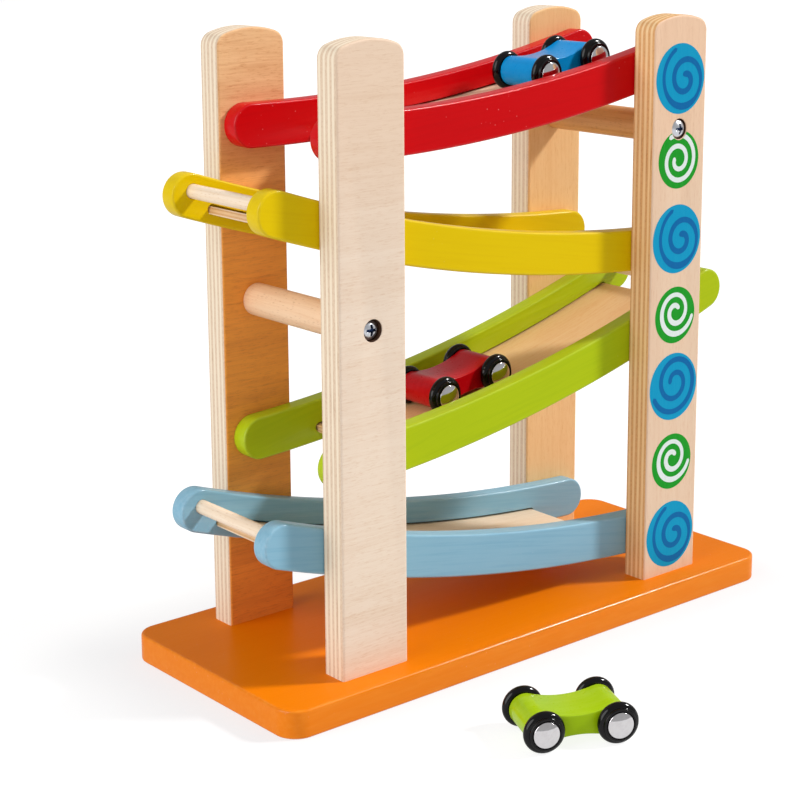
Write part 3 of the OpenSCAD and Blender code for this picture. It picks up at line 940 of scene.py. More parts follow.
@dataclass
class Slab:
    """A flat piece of even thickness with eased edges and pockets in its faces.

    Its own frame has the outline in the first and third axes, and the thickness along the second,
    about zero. Support is a narrow flat band inside the eased edge, and shift moves the pattern.
    """

    outline: Outline
    thickness: float
    ease: float
    pockets: Sequence[Pocket] = ()
    shift: tuple[float, float, float] = (0.0, 0.0, 0.0)
    steps: int = 5
    support: float = 0.35 * MM

    def ring(
        self, work: bmesh.types.BMesh, outline: Outline, inset: float, level: float, wear: float
    ) -> Ring:
        """Adds one ring of points round an outline.

        Args:
            work: The mesh that is being built.
            outline: The outline that the ring follows.
            inset: How far it is drawn in.
            level: Its place through the thickness.
            wear: How much the edge wears there, from 0 to 1.

        Returns:
            The ring's points.
        """
        board, worn = work.verts.layers.float_vector[BOARD], work.verts.layers.float[WEAR_AND_RECESS_SHADE]
        ring = []
        for station in outline:
            u, v = station.at(inset)
            spot = Vector((u, level, v))
            vert = work.verts.new(spot)
            vert[board] = spot + Vector(self.shift)
            vert[worn] = wear
            ring.append(vert)
        return ring

    @staticmethod
    def bridge(work: bmesh.types.BMesh, rings: Sequence[Ring]) -> None:
        """Joins neighbouring rings with four-sided faces.

        Args:
            work: The mesh that is being built.
            rings: The rings in order.
        """
        for first, second in zip(rings, rings[1:]):
            for k in range(len(first)):
                j = (k + 1) % len(first)
                work.faces.new((first[k], first[j], second[j], second[k]))

    @staticmethod
    def fill(work: bmesh.types.BMesh, loops: Sequence[Ring]) -> None:
        """Fills a flat face between its outer loop and its holes.

        Args:
            work: The mesh that is being built.
            loops: The outer loop and then the holes.
        """
        verts = [vert for loop in loops for vert in loop]
        flat = [[Vector((vert.co.x, vert.co.z, 0.0)) for vert in loop] for loop in loops]
        for triple in tessellate_polygon(flat):
            work.faces.new([verts[k] for k in triple])

    def rim(
        self, work: bmesh.types.BMesh, outline: Outline, ease: float, level: float, side: int
    ) -> list[Ring]:
        """The rings of one eased edge, from the face to the wall.

        Args:
            work: The mesh that is being built.
            outline: The outline of the wall.
            ease: The edge's radius, which is negative where the wall is a pocket's.
            level: The face's place through the thickness.
            side: 1 where the wall goes down from the face, and -1 where it goes up.

        Returns:
            The rings in order.
        """
        rings = []
        for k in range(self.steps + 1):
            turn = QUARTER * k / self.steps
            wear = math.sin(2 * turn) * 0.5 + 0.5
            inset = ease * (1 - math.sin(turn))
            drop = side * abs(ease) * (1 - math.cos(turn))
            rings.append(self.ring(work, outline, inset, level - drop, wear))
        return rings

    def sink(self, work: bmesh.types.BMesh, pocket: Pocket) -> Ring:
        """Adds a pocket's rim, wall and bottom, and gives the loop where it meets the face.

        Args:
            work: The mesh that is being built.
            pocket: The pocket.

        Returns:
            The loop.
        """
        side = pocket.face.value
        level = side * self.thickness / 2
        rings = self.rim(work, pocket.outline, -pocket.ease, level, side)
        rings.append(self.ring(work, pocket.outline, 0.0, level - side * pocket.depth, 0.0))
        self.bridge(work, rings)
        self.fill(work, [rings[-1]])
        return rings[0]

    def mesh(self, name: str, placing: Matrix) -> bpy.types.Mesh:
        """Builds the slab.

        Args:
            name: The mesh's name.
            placing: From the slab's own frame to the toy's.

        Returns:
            The mesh.
        """
        work = marked_mesh()
        half, inset = self.thickness / 2, self.ease + self.support
        rings = [self.ring(work, self.outline, inset, half, 0.0)]
        rings += self.rim(work, self.outline, self.ease, half, 1)
        rings += self.rim(work, self.outline, self.ease, -half, -1)[::-1]
        rings.append(self.ring(work, self.outline, inset, -half, 0.0))
        self.bridge(work, rings)
        for face, loop in ((Face.FAR, rings[0]), (Face.NEAR, rings[-1])):
            holes = [self.sink(work, pocket) for pocket in self.pockets if pocket.face is face]
            self.fill(work, [loop, *holes])
        return finish_mesh(work, bpy.data.meshes.new(name), placing)


def rounded_profile(
    corners: Sequence[tuple[float, float, float]], closed: bool, steps: int = 5
) -> list[tuple[float, float]]:
    """A turned piece's profile with rounded corners.

    Args:
        corners: Each corner's place along the axis, its radius from the axis and its rounding.
        closed: Whether the last corner joins the first.
        steps: Stations at each rounded corner.

    Returns:
        Pairs of a place along the axis and a radius from it.
    """
    profile: list[tuple[float, float]] = []
    count = len(corners)
    for k, (x, y, rounding) in enumerate(corners):
        here = Vector((x, y))
        if rounding == 0 or (not closed and k in (0, count - 1)):
            profile.append((x, y))
            continue
        before = (Vector(corners[k - 1][:2]) - here).normalized()
        after = (Vector(corners[(k + 1) % count][:2]) - here).normalized()
        half_angle = before.angle(after) / 2
        reach = rounding / math.tan(half_angle)
        middle = here + (before + after).normalized() * (rounding / math.sin(half_angle))
        start, end = here + before * reach - middle, here + after * reach - middle
        for j in range(steps + 1):
            way = start.lerp(end, j / steps).normalized() * rounding
            profile.append((middle.x + way.x, middle.y + way.y))
    return profile


@dataclass
class Turned:
    """A piece turned on a lathe about the first axis of its own frame.

    Each corner is a place along the axis, a radius and a rounding, and shift moves the pattern.
    """

    corners: Sequence[tuple[float, float, float]]
    closed: bool = False
    steps: int = 72
    shift: tuple[float, float, float] = (0.0, 0.0, 0.0)

    def add_to(self, work: bmesh.types.BMesh, placing: Matrix) -> None:
        """Adds the turned piece to a mesh.

        Args:
            work: The mesh that is being built.
            placing: Where the piece goes in that mesh.
        """
        board, worn = work.verts.layers.float_vector[BOARD], work.verts.layers.float[WEAR_AND_RECESS_SHADE]
        rings = []
        for along, radius in rounded_profile(self.corners, self.closed):
            count = self.steps if radius > 0 else 1
            ring = []
            for k in range(count):
                angle = FULL_TURN * k / self.steps
                spot = Vector((along, radius * math.cos(angle), radius * math.sin(angle)))
                vert = work.verts.new(placing @ spot)
                vert[board] = spot + Vector(self.shift)
                vert[worn] = 0.0
                ring.append(vert)
            rings.append(ring)
        pairs = list(zip(rings, rings[1:]))
        if self.closed:
            pairs.append((rings[-1], rings[0]))
        for first, second in pairs:
            for k in range(self.steps):
                j = (k + 1) % self.steps
                if len(first) == 1:
                    work.faces.new((first[0], second[k], second[j]))
                elif len(second) == 1:
                    work.faces.new((first[k], first[j], second[0]))
                else:
                    work.faces.new((first[k], first[j], second[j], second[k]))


def turned_mesh(name: str, pieces: Sequence[tuple[Turned, Matrix]]) -> bpy.types.Mesh:
    """Joins turned pieces into one mesh.

    Args:
        name: The mesh's name.
        pieces: Each turned piece with its placing.

    Returns:
        The mesh.
    """
    work = marked_mesh()
    for piece, placing in pieces:
        piece.add_to(work, placing)
    return finish_mesh(work, bpy.data.meshes.new(name), Matrix())


class Setting(Enum):
    """What a tree's named input takes."""

    NUMBER = "NodeSocketFloat"
    MATERIAL = "NodeSocketMaterial"


class Recipe(Graph):
    """A Geometry Nodes tree that is built, run once and turned into a plain mesh."""

    def __init__(self, name: str) -> None:
        """Starts a tree that has the geometry's own way in and way out.

        Args:
            name: The tree's name.
        """
        super().__init__(bpy.data.node_groups.new(name, "GeometryNodeTree"))
        for way in ("INPUT", "OUTPUT"):
            self.tree.interface.new_socket(
                "Geometry", in_out=way, socket_type="NodeSocketGeometry"
            )
        self.entry = self.tree.nodes.new("NodeGroupInput")
        self.settings: dict[str, float | bpy.types.Material] = {}

    def setting(self, name: str, kind: Setting, value: float | bpy.types.Material) -> Wire:
        """Adds a named input and remembers the value that it is given.

        Args:
            name: The input's name.
            kind: What it takes.
            value: Its value.

        Returns:
            The input as a wire.
        """
        interface = self.tree.interface
        socket = interface.new_socket(name, in_out="INPUT", socket_type=kind.value)
        self.settings[socket.identifier] = value
        return Wire(self, self.entry.outputs[name])

    def size(self, name: str, value: float) -> Wire:
        """Adds a named input for a length, an angle or another number."""
        return self.setting(name, Setting.NUMBER, value)

    def cylinder(self, values: dict[str, Any], settings: dict[str, Any] | None = None) -> Wire:
        """Adds a cylinder about the third axis."""
        return self.out("GeometryNodeMeshCylinder", settings, values, "Mesh")

    def moved(self, geometry: Wire, offset: Any, turn: Any = (0.0, 0.0, 0.0)) -> Wire:
        """Turns geometry about the origin and then moves it."""
        values = {"Geometry": geometry, "Translation": offset, "Rotation": turn}
        return self.out("GeometryNodeTransform", None, values)

    def run(
        self,
        name: str,
        geometry: Wire,
        finish: bpy.types.Material,
        points: Sequence[Vector] = (),
    ) -> bpy.types.Mesh:
        """Ends the tree, evaluates it on a helper object and gives the plain mesh.

        Args:
            name: The mesh's name.
            geometry: The geometry that is the result.
            finish: The piece's material.
            points: Places that the tree takes as its own geometry.

        Returns:
            The mesh.
        """
        real = self.out("GeometryNodeRealizeInstances", None, {0: geometry})
        values = {"Geometry": real, "Material": self.setting("Finish", Setting.MATERIAL, finish)}
        self.add("NodeGroupOutput", None, {0: self.out("GeometryNodeSetMaterial", None, values)})
        seed = bpy.data.meshes.new(name + "_seed")
        seed.from_pydata([tuple(point) for point in points], [], [])
        helper = bpy.data.objects.new(name + "_helper", seed)
        bpy.context.scene.collection.objects.link(helper)
        modifier = helper.modifiers.new("recipe", "NODES")
        modifier.node_group = self.tree
        for identifier, value in self.settings.items():
            modifier[identifier] = value
        bpy.context.view_layer.update()
        graph = bpy.context.evaluated_depsgraph_get()
        mesh = bpy.data.meshes.new_from_object(helper.evaluated_get(graph), depsgraph=graph)
        mesh.name = name
        helper.modifiers.remove(modifier)
        bpy.data.objects.remove(helper)
        bpy.data.meshes.remove(seed)
        return mesh


def clean_mesh(mesh: bpy.types.Mesh, placing: Matrix) -> bpy.types.Mesh:
    """Merges the seams of a tree's mesh and finishes it at its place.

    Args:
        mesh: The tree's result.
        placing: From the tree's frame to the toy's.

    Returns:
        The mesh.
    """
    work = bmesh.new()
    work.from_mesh(mesh)
    bmesh.ops.remove_doubles(work, verts=work.verts, dist=SEAM)
    return finish_mesh(work, mesh, placing)


class Bench:
    """Puts finished pieces into the scene and keeps each finish's material."""

    def __init__(self) -> None:
        """Starts with no materials."""
        self.materials: dict[str, bpy.types.Material] = {}

    def material(self, finish: Finish) -> bpy.types.Material:
        """The material of a finish, which is made once.

        Args:
            finish: The finish.

        Returns:
            The material.
        """
        if finish.name not in self.materials:
            self.materials[finish.name] = finish.build()
        return self.materials[finish.name]

    def show(
        self,
        mesh: bpy.types.Mesh,
        finish: Finish,
        body: str,
        nodes: Sequence[str] = (),
    ) -> None:
        """Makes a piece of a finished mesh.

        Args:
            mesh: The mesh, which is already in its place.
            finish: The piece's finish.
            body: The body that it rides on.
            nodes: The nodes that it stands for.
        """
        mesh.materials.clear()
        mesh.materials.append(self.material(finish))
        piece = bpy.data.objects.new(mesh.name, mesh)
        bpy.context.scene.collection.objects.link(piece)
        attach(piece, body)
        if nodes:
            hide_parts(*nodes)
        LOG.info("%s: %d faces on %s", piece.name, len(mesh.polygons), body)

    def dress_node(self, node: str, finish: Finish) -> None:
        """Gives a node that stays in view its finish.

        Args:
            node: The node's name.
            finish: Its finish.
        """
        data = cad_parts[node].data
        data.materials.clear()
        data.materials.append(self.material(finish))
        LOG.info("%s: dressed", node)


def box_middle(node: str) -> Vector:
    """The middle of a node's box."""
    low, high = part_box(node)
    return (low + high) / 2


@dataclass
class BaseBoard:
    """The lacquered board that carries the posts."""

    corner_r: float = 10 * MM
    ease: float = 1.1 * MM
    screw_pitch: float = 18 * MM
    sink_r: float = 4.05 * MM
    sink_depth: float = 0.6 * MM

    def build(self, bench: Bench) -> None:
        """Builds and dresses the board.

        Args:
            bench: Where its pieces go.
        """
        low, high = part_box("base_board")
        length, width, thickness = high - low
        pockets = []
        for post in (Post(side, row) for row in Row for side in Side):
            middle = box_middle(post.node)
            for k in (-1, 1):
                spot = (middle.x + k * self.screw_pitch / 2, middle.y)
                pockets.append(Pocket(round_hole(spot, self.sink_r), self.sink_depth, Face.NEAR))
        outline = rounded_rectangle(length, width, self.corner_r)
        slab = Slab(outline, thickness, self.ease, pockets)
        middle_z = (low.z + high.z) / 2
        lying = Matrix(((1, 0, 0, 0), (0, 0, 1, 0), (0, 1, 0, middle_z), (0, 0, 0, 1)))
        mesh = slab.mesh("base_panel", lying)
        bench.show(mesh, BASE_LACQUER, TRACK, ["base_board"])
        bench.dress_node("base_screws", BASE_SCREW_ZINC)


@dataclass
class Post:
    """A plywood post with a crowned top, eased edges and a counterbored screw hole.

    The shifts move the veneer's pattern by the post's side and row.
    """

    side: Side
    row: Row
    crown_r: float = 41 * MM
    shoulder_r: float = 5.8 * MM
    ease: float = 1.1 * MM
    bore_ease: float = 0.25 * MM
    side_shift: float = 1.7
    row_shift: float = 0.9

    @property
    def node(self) -> str:
        """The name of the node that it stands for."""
        return f"post_{self.row.name.lower()}_{self.side.name.lower()}"

    def outline(self, width: float, height: float) -> Outline:
        """The post's front view on its foot, whose corners stay sharp at the base board.

        Args:
            width: The post's width.
            height: Its height at the crown.

        Returns:
            The outline.
        """
        half = width / 2
        shoulder_x = half - self.shoulder_r
        crown_z = height - self.crown_r
        lean = math.acos(shoulder_x / (self.crown_r - self.shoulder_r))
        shoulder_z = crown_z + (self.crown_r - self.shoulder_r) * math.sin(lean)
        return (
            [Station((-half, 0.0), (1, 0)), Station((half, 0.0), (-1, 0))]
            + arc((shoulder_x, shoulder_z), self.shoulder_r, 0.0, lean, 14)
            + arc((0.0, crown_z), self.crown_r, lean, HALF_TURN - lean, 30)
            + arc((-shoulder_x, shoulder_z), self.shoulder_r, HALF_TURN - lean, HALF_TURN, 14)
            + [Station((-half, shoulder_z), (1, 0))]
        )

    def build(self, bench: Bench) -> None:
        """Builds and dresses the post.

        Args:
            bench: Where its pieces go.
        """
        low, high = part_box(self.node)
        width, thickness, height = high - low
        bar_z = box_middle(f"{self.side.name.lower()}_crossbar").z
        face = Face.NEAR if self.row is Row.FRONT else Face.FAR
        hole = round_hole((0.0, bar_z - low.z), COUNTERBORE_R, 48)
        bore = Pocket(hole, COUNTERBORE_DEPTH[self.side], face, self.bore_ease)
        shift = self.side_shift * self.side.value + self.row_shift * self.row.value
        slab = Slab(self.outline(width, height), thickness, self.ease, [bore], (shift, 0.0, shift))
        middle = box_middle(self.node)
        mesh = slab.mesh(self.node + "_ply", Matrix.Translation((middle.x, middle.y, low.z)))
        bench.show(mesh, POST_PLY[self.side, self.row], TRACK, [self.node])


@dataclass
class Crossbar:
    """A thick dowel between two posts, whose side shifts its pattern and picks its beech, the right
    one with painted shade.
    """

    side: Side
    chamfer: float = 0.5 * MM
    ease: float = 0.3 * MM
    side_shift: float = 0.4

    def build(self, bench: Bench) -> None:
        """Builds and dresses the crossbar.

        Args:
            bench: Where its pieces go.
        """
        node = f"{self.side.name.lower()}_crossbar"
        low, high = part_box(node)
        radius, half = (high.z - low.z) / 2, (high.y - low.y) / 2
        corners = [
            (-half, 0.0, 0.0),
            (-half, radius - self.chamfer, 0.0),
            (-half + self.chamfer, radius, self.ease),
            (half - self.chamfer, radius, self.ease),
            (half, radius - self.chamfer, 0.0),
            (half, 0.0, 0.0),
        ]
        shift = self.side_shift * self.side.value
        along_y = Matrix.Translation(box_middle(node)) @ Matrix.Rotation(QUARTER, 4, "Z")
        mesh = turned_mesh(node + "_dowel", [(Turned(corners, shift=(shift, shift, 0.0)), along_y)])
        bench.show(mesh, CROSSBAR_BEECH[self.side], TRACK, [node])


@dataclass
class CrossbarScrews:
    """The domed cross-head screws that hold the crossbars, repeated at the four posts.

    The cross in a head narrows along its arms, and its walls and ends fall over short runs. Skin
    and lip are the painted shadow ring's thickness and its distance from the counterbore's mouth.
    """

    head_r: float = 4.05 * MM
    rim_h: float = 0.6 * MM
    dome_h: float = 1.8 * MM
    arm_half_w: float = 0.58 * MM
    arm_half_l: float = 2.35 * MM
    arm_depth: float = 1.5 * MM
    shank_r: float = 2 * MM
    shank_l: float = 29.9 * MM
    arm_root: float = 1.35
    arm_taper: float = 0.45
    wall_run: float = 0.1 * MM
    end_run: float = 0.12 * MM
    recess_rise: float = 0.35
    skin: float = 0.06 * MM
    lip: float = 0.35 * MM

    def head(self, recipe: Recipe) -> Wire:
        """A domed head with a cross-shaped recess, about z = 0, worked out point by point.

        Args:
            recipe: The tree that the head is added to.

        Returns:
            The head's geometry.
        """
        head_r = recipe.size("Head Radius", self.head_r)
        rim_h = recipe.size("Rim Height", self.rim_h)
        dome_h = recipe.size("Dome Height", self.dome_h)
        arm_w = recipe.size("Arm Half Width", self.arm_half_w)
        arm_l = recipe.size("Arm Half Length", self.arm_half_l)
        depth = recipe.size("Recess Depth", self.arm_depth)
        values = {"Vertices": 96, "Fill Segments": 40, "Radius": head_r, "Depth": rim_h}
        disc = recipe.cylinder(values, {"fill_type": "TRIANGLE_FAN"})
        x, y, z = recipe.split(recipe.add("GeometryNodeInputPosition").outputs[0])
        reach = (x * x + y * y).root()
        dome_r = (head_r * head_r + dome_h * dome_h) / (dome_h * 2)
        dome = (dome_r * dome_r - reach * reach).most(0.0).root() - (dome_r - dome_h)
        arms = []
        for along, across in ((x, y), (y, x)):
            narrow = arm_w * (self.arm_root - reach / arm_l * self.arm_taper)
            flat = ((narrow - abs(across)) / self.wall_run).least(1.0).most(0.0)
            ends = ((arm_l - abs(along)) / self.end_run).least(1.0).most(0.0)
            arms.append(flat * ends)
        top = z.above(0.0)
        star = arms[0].most(arms[1])
        sunk = star * depth * (1.0 - reach / arm_l * self.recess_rise)
        # The cross is marked so that the screw's metal paints shade into it.
        values = {"Geometry": disc, "Name": WEAR_AND_RECESS_SHADE, "Value": star * top}
        marked = recipe.out("GeometryNodeStoreNamedAttribute", {"data_type": "FLOAT"}, values)
        lift = recipe.join(0.0, 0.0, dome - sunk)
        values = {"Geometry": marked, "Selection": top, "Offset": lift}
        return recipe.out("GeometryNodeSetPosition", None, values)

    def painted_shadow_ring(self, depth: float) -> Turned:
        """A thin dark skin on a counterbore's seat and wall: painted shadow between the head and the
        bore.

        Args:
            depth: How deep the counterbore is.

        Returns:
            The ring, from the seat outwards.
        """
        wall = COUNTERBORE_R - self.skin / 2
        hole = self.head_r + self.skin / 2
        mouth = depth - self.lip
        corners = [
            (0.0, hole, 0.0),
            (0.0, wall, 0.0),
            (mouth, wall, 0.0),
            (mouth, wall - self.skin, 0.0),
            (self.skin, wall - self.skin, 0.0),
            (self.skin, hole, 0.0),
        ]
        return Turned(corners, closed=True, steps=96)

    def screws(self, recipe: Recipe) -> Wire:
        """A whole screw at each point that the tree is given, with its head turned outwards.

        Args:
            recipe: The tree, whose own geometry is the middles of the heads' rims.

        Returns:
            The screws.
        """
        head = self.head(recipe)
        shank_r = recipe.size("Shank Radius", self.shank_r)
        shank_l = recipe.size("Shank Length", self.shank_l)
        shank = recipe.cylinder({"Vertices": 24, "Radius": shank_r, "Depth": shank_l})
        shank = recipe.moved(shank, recipe.join(0.0, 0.0, shank_l * -0.5 - self.rim_h / 2))
        screw = recipe.add("GeometryNodeJoinGeometry")
        for piece in (head, shank):
            recipe.tree.links.new(piece.socket, screw.inputs[0])
        _, y, _ = recipe.split(recipe.add("GeometryNodeInputPosition").outputs[0])
        lean = recipe.join(y.sign() * -QUARTER, 0.0, 0.0)
        values = {
            "Points": recipe.out("GeometryNodeMeshToPoints", None, {0: recipe.entry.outputs[0]}),
            "Instance": screw.outputs[0],
            "Rotation": recipe.out("FunctionNodeEulerToRotation", None, {0: lean}),
        }
        return recipe.out("GeometryNodeInstanceOnPoints", None, values)

    def build(self, bench: Bench) -> None:
        """Builds and dresses the four screws as one piece, and the painted shadow rings round them.

        Args:
            bench: Where its pieces go.
        """
        middles: list[Vector] = []
        rings: list[tuple[Turned, Matrix]] = []
        for side, row in CORNERS:
            bar = box_middle(f"{side.name.lower()}_crossbar")
            low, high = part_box(Post(side, row).node)
            depth = COUNTERBORE_DEPTH[side]
            seat_y = low.y + depth if row is Row.FRONT else high.y - depth
            seat = Vector((bar.x, seat_y, bar.z))
            middles.append(seat + Vector((0.0, row.value * self.rim_h / 2, 0.0)))
            outward = Matrix.Rotation(row.value * QUARTER, 4, "Z")
            rings.append((self.painted_shadow_ring(depth), Matrix.Translation(seat) @ outward))
        recipe = Recipe("crossbar_screws")
        material = bench.material(SCREW_ZINC)
        mesh = recipe.run("crossbar_screw_heads", self.screws(recipe), material, middles)
        mesh = clean_mesh(mesh, Matrix())
        bench.show(mesh, SCREW_ZINC, TRACK, ["crossbar_screws"])
        # The dark rings in the counterbores are painted shadow.
        bench.show(turned_mesh("scorched_bore_rings", rings), PAINTED_SHADOW_BIRCH, TRACK)


@dataclass
class Ramp:
    """One curved ramp: two rails with a let-in floor and a stop dowel across the high end.

    Its own frame has the chord of the curve along the first axis, and the rails' lower edge at its
    middle as the origin. Angles run from straight down towards the high end. The shifts move the
    pattern of each piece by the ramp's height, and by the row for a rail.
    """

    name: str
    lacquer: Lacquer
    climb: Side
    tilt_deg: float
    edge_z: float
    rail_l: float = 238.6 * MM
    middle_x: float = 19.3 * MM
    drop_gap: float = 33.8 * MM
    has_stop: bool = True
    floor_ply: Plywood = FLOOR_PLY
    track_w: float = 50.2 * MM
    rail_t: float = 8 * MM
    rail_h: float = 18.6 * MM
    arc_r: float = 760 * MM
    ease: float = 0.9 * MM
    floor_t: float = FLOOR_PLY_T
    floor_rise: float = 4.1 * MM
    groove_h: float = 4.2 * MM
    groove_d: float = 3.5 * MM
    stop_gap: float = 19.5 * MM
    stop_d: float = 6 * MM
    stop_lift: float = 1 * MM
    stop_seat: float = 4 * MM
    end_gap: float = 0.1 * MM
    glue_gap: float = 0.12 * MM
    floor_ease: float = 0.35 * MM
    stop_ease: float = 0.4 * MM
    groove_tuck: float = 1.2 * MM
    rail_shift: float = 13
    floor_shift: float = 9
    stop_shift: float = 5
    row_shift: float = 0.7

    @property
    def mid_r(self) -> float:
        """The radius of the rails' middle line."""
        return self.arc_r - self.rail_h / 2

    @property
    def half_angle(self) -> float:
        """The angle from the rails' middle to the middle of a round end."""
        return math.asin((self.rail_l - self.rail_h) / 2 / self.mid_r)

    @property
    def floor_top_r(self) -> float:
        """The radius of the floor's top."""
        return self.arc_r - self.floor_rise - self.floor_t

    @property
    def floor_angles(self) -> tuple[float, float]:
        """The angles at which the floor starts and ends.

        Returns:
            The lower and the higher angle.
        """
        tip = self.rail_h / 2 / self.mid_r
        low = -self.half_angle - tip + self.drop_gap / self.floor_top_r
        high = self.half_angle + tip - self.stop_gap / self.floor_top_r
        return low, high

    def placing(self, y: float = 0.0) -> Matrix:
        """From the ramp's own frame to the toy's.

        Args:
            y: How far the piece lies from the ramp's mid plane.

        Returns:
            The matrix.
        """
        tilt = math.radians(self.tilt_deg)
        arc_x = self.middle_x - self.arc_r * math.sin(tilt)
        arc_z = self.edge_z + self.arc_r * math.cos(tilt)
        mirror = Matrix.Diagonal((self.climb.value, 1, 1, 1))
        middle = Matrix.Translation((arc_x, y, arc_z))
        lean = Matrix.Rotation(-tilt, 4, "Y")
        return mirror @ middle @ lean @ Matrix.Translation((0, 0, -self.arc_r))

    def stop_spot(self) -> tuple[float, float]:
        """The stop dowel's axis in the ramp's own frame."""
        radius = self.floor_top_r - self.stop_lift - self.stop_d / 2
        return radius * math.sin(self.half_angle), self.arc_r - radius * math.cos(self.half_angle)

    def build_rail(self, bench: Bench, row: Row) -> None:
        """Builds and dresses one rail, with its groove and its dowel hole.

        Args:
            bench: Where its pieces go.
            row: Which of the two rails.
        """
        node = f"{self.name}_{row.name.lower()}_rail"
        inner = Face.FAR if row is Row.FRONT else Face.NEAR
        low, high = self.floor_angles
        play = (self.end_gap - self.groove_tuck) / self.floor_top_r
        groove_r = self.arc_r - self.floor_rise - self.groove_h / 2
        groove = bent_band(self.arc_r, groove_r, self.groove_h, low - play, high + play, 60)
        pockets = [Pocket(groove, self.groove_d, inner)]
        if self.has_stop:
            hole = round_hole(self.stop_spot(), self.stop_d / 2 + self.glue_gap)
            pockets.append(Pocket(hole, self.stop_seat, inner))
        outline = bent_band(self.arc_r, self.mid_r, self.rail_h, -self.half_angle, self.half_angle)
        shift = self.edge_z * self.rail_shift + row.value * self.row_shift
        slab = Slab(outline, self.rail_t, self.ease, pockets, (shift, 0.0, shift))
        middle = row.value * (self.track_w + self.rail_t) / 2
        mesh = slab.mesh(node + "_lacquered", self.placing(middle))
        bench.show(mesh, self.lacquer, TRACK, [node])

    def build_floor(self, bench: Bench) -> None:
        """Builds and dresses the bent floor: its cross-section, swept along the ramp's curve.

        Args:
            bench: Where its pieces go.
        """
        node = f"{self.name}_floor"
        low, high = self.floor_angles
        recipe = Recipe(node)
        radius = recipe.size("Middle Radius", self.floor_top_r + self.floor_t / 2)
        start = recipe.size("Start Angle", low - QUARTER)
        sweep = recipe.size("Sweep Angle", high - low)
        across = recipe.size("Width", self.track_w + 2 * (self.groove_d - self.end_gap))
        thick = recipe.size("Thickness", self.floor_t)
        ease = recipe.size("Edge Radius", self.floor_ease)
        values = {"Resolution": 97, "Radius": radius, "Start Angle": start, "Sweep Angle": sweep}
        path = recipe.out("GeometryNodeCurveArc", {"mode": "RADIUS"}, values, "Curve")
        values = {"Width": thick, "Height": across}
        section = recipe.out("GeometryNodeCurvePrimitiveQuadrilateral", None, values)
        values = {"Curve": section, "Radius": ease, "Count": 4}
        rounded = recipe.out("GeometryNodeFilletCurve", {"mode": "POLY"}, values)
        path = recipe.out("GeometryNodeSetCurveNormal", {"mode": "Z_UP"}, {0: path})
        values = {"Curve": path, "Profile Curve": rounded, "Fill Caps": True}
        swept = recipe.out("GeometryNodeCurveToMesh", None, values)
        stand = Matrix.Translation((0, 0, self.arc_r)) @ Matrix.Rotation(QUARTER, 4, "X")
        mesh = clean_mesh(recipe.run(node + "_ply", swept, bench.material(self.floor_ply)), stand)
        self.stamp_floor(mesh)
        placing = self.placing()
        mesh.transform(placing)
        if placing.determinant() < 0:
            mesh.flip_normals()
        bench.show(mesh, self.floor_ply, TRACK, [node])

    def stamp_floor(self, mesh: bpy.types.Mesh) -> None:
        """Writes where each point of the floor was before the floor was bent.

        Args:
            mesh: The floor in the ramp's own frame.
        """
        board = mesh.attributes.new(BOARD, "FLOAT_VECTOR", "POINT")
        flat = []
        middle_r = self.floor_top_r + self.floor_t / 2
        for vertex in mesh.vertices:
            u, y, v = vertex.co
            reach = math.hypot(u, self.arc_r - v)
            along = middle_r * math.atan2(u, self.arc_r - v)
            flat += [along + self.edge_z * self.floor_shift, middle_r - reach, y]
        board.data.foreach_set("vector", flat)

    def build_stop(self, bench: Bench) -> None:
        """Builds and dresses the stop dowel.

        Args:
            bench: Where its pieces go.
        """
        node = f"{self.name}_stop_dowel"
        half = self.track_w / 2 + self.stop_seat - self.end_gap
        radius = self.stop_d / 2
        corners = [
            (-half, 0.0, 0.0),
            (-half, radius, self.stop_ease),
            (half, radius, self.stop_ease),
            (half, 0.0, 0.0),
        ]
        dowel = Turned(corners, steps=48, shift=(self.edge_z * self.stop_shift, 0.0, 0.0))
        u, v = self.stop_spot()
        placing = self.placing() @ Matrix.Translation((u, 0, v)) @ Matrix.Rotation(QUARTER, 4, "Z")
        mesh = turned_mesh(node + "_birch", [(dowel, placing)])
        bench.show(mesh, STOP_BIRCH, TRACK, [node])

    def build(self, bench: Bench) -> None:
        """Builds and dresses the whole ramp.

        Args:
            bench: Where its pieces go.
        """
        for row in Row:
            self.build_rail(bench, row)
        self.build_floor(bench)
        if self.has_stop:
            self.build_stop(bench)
        bench.dress_node(f"{self.name}_pins", HIDDEN_PIN_BEECH)


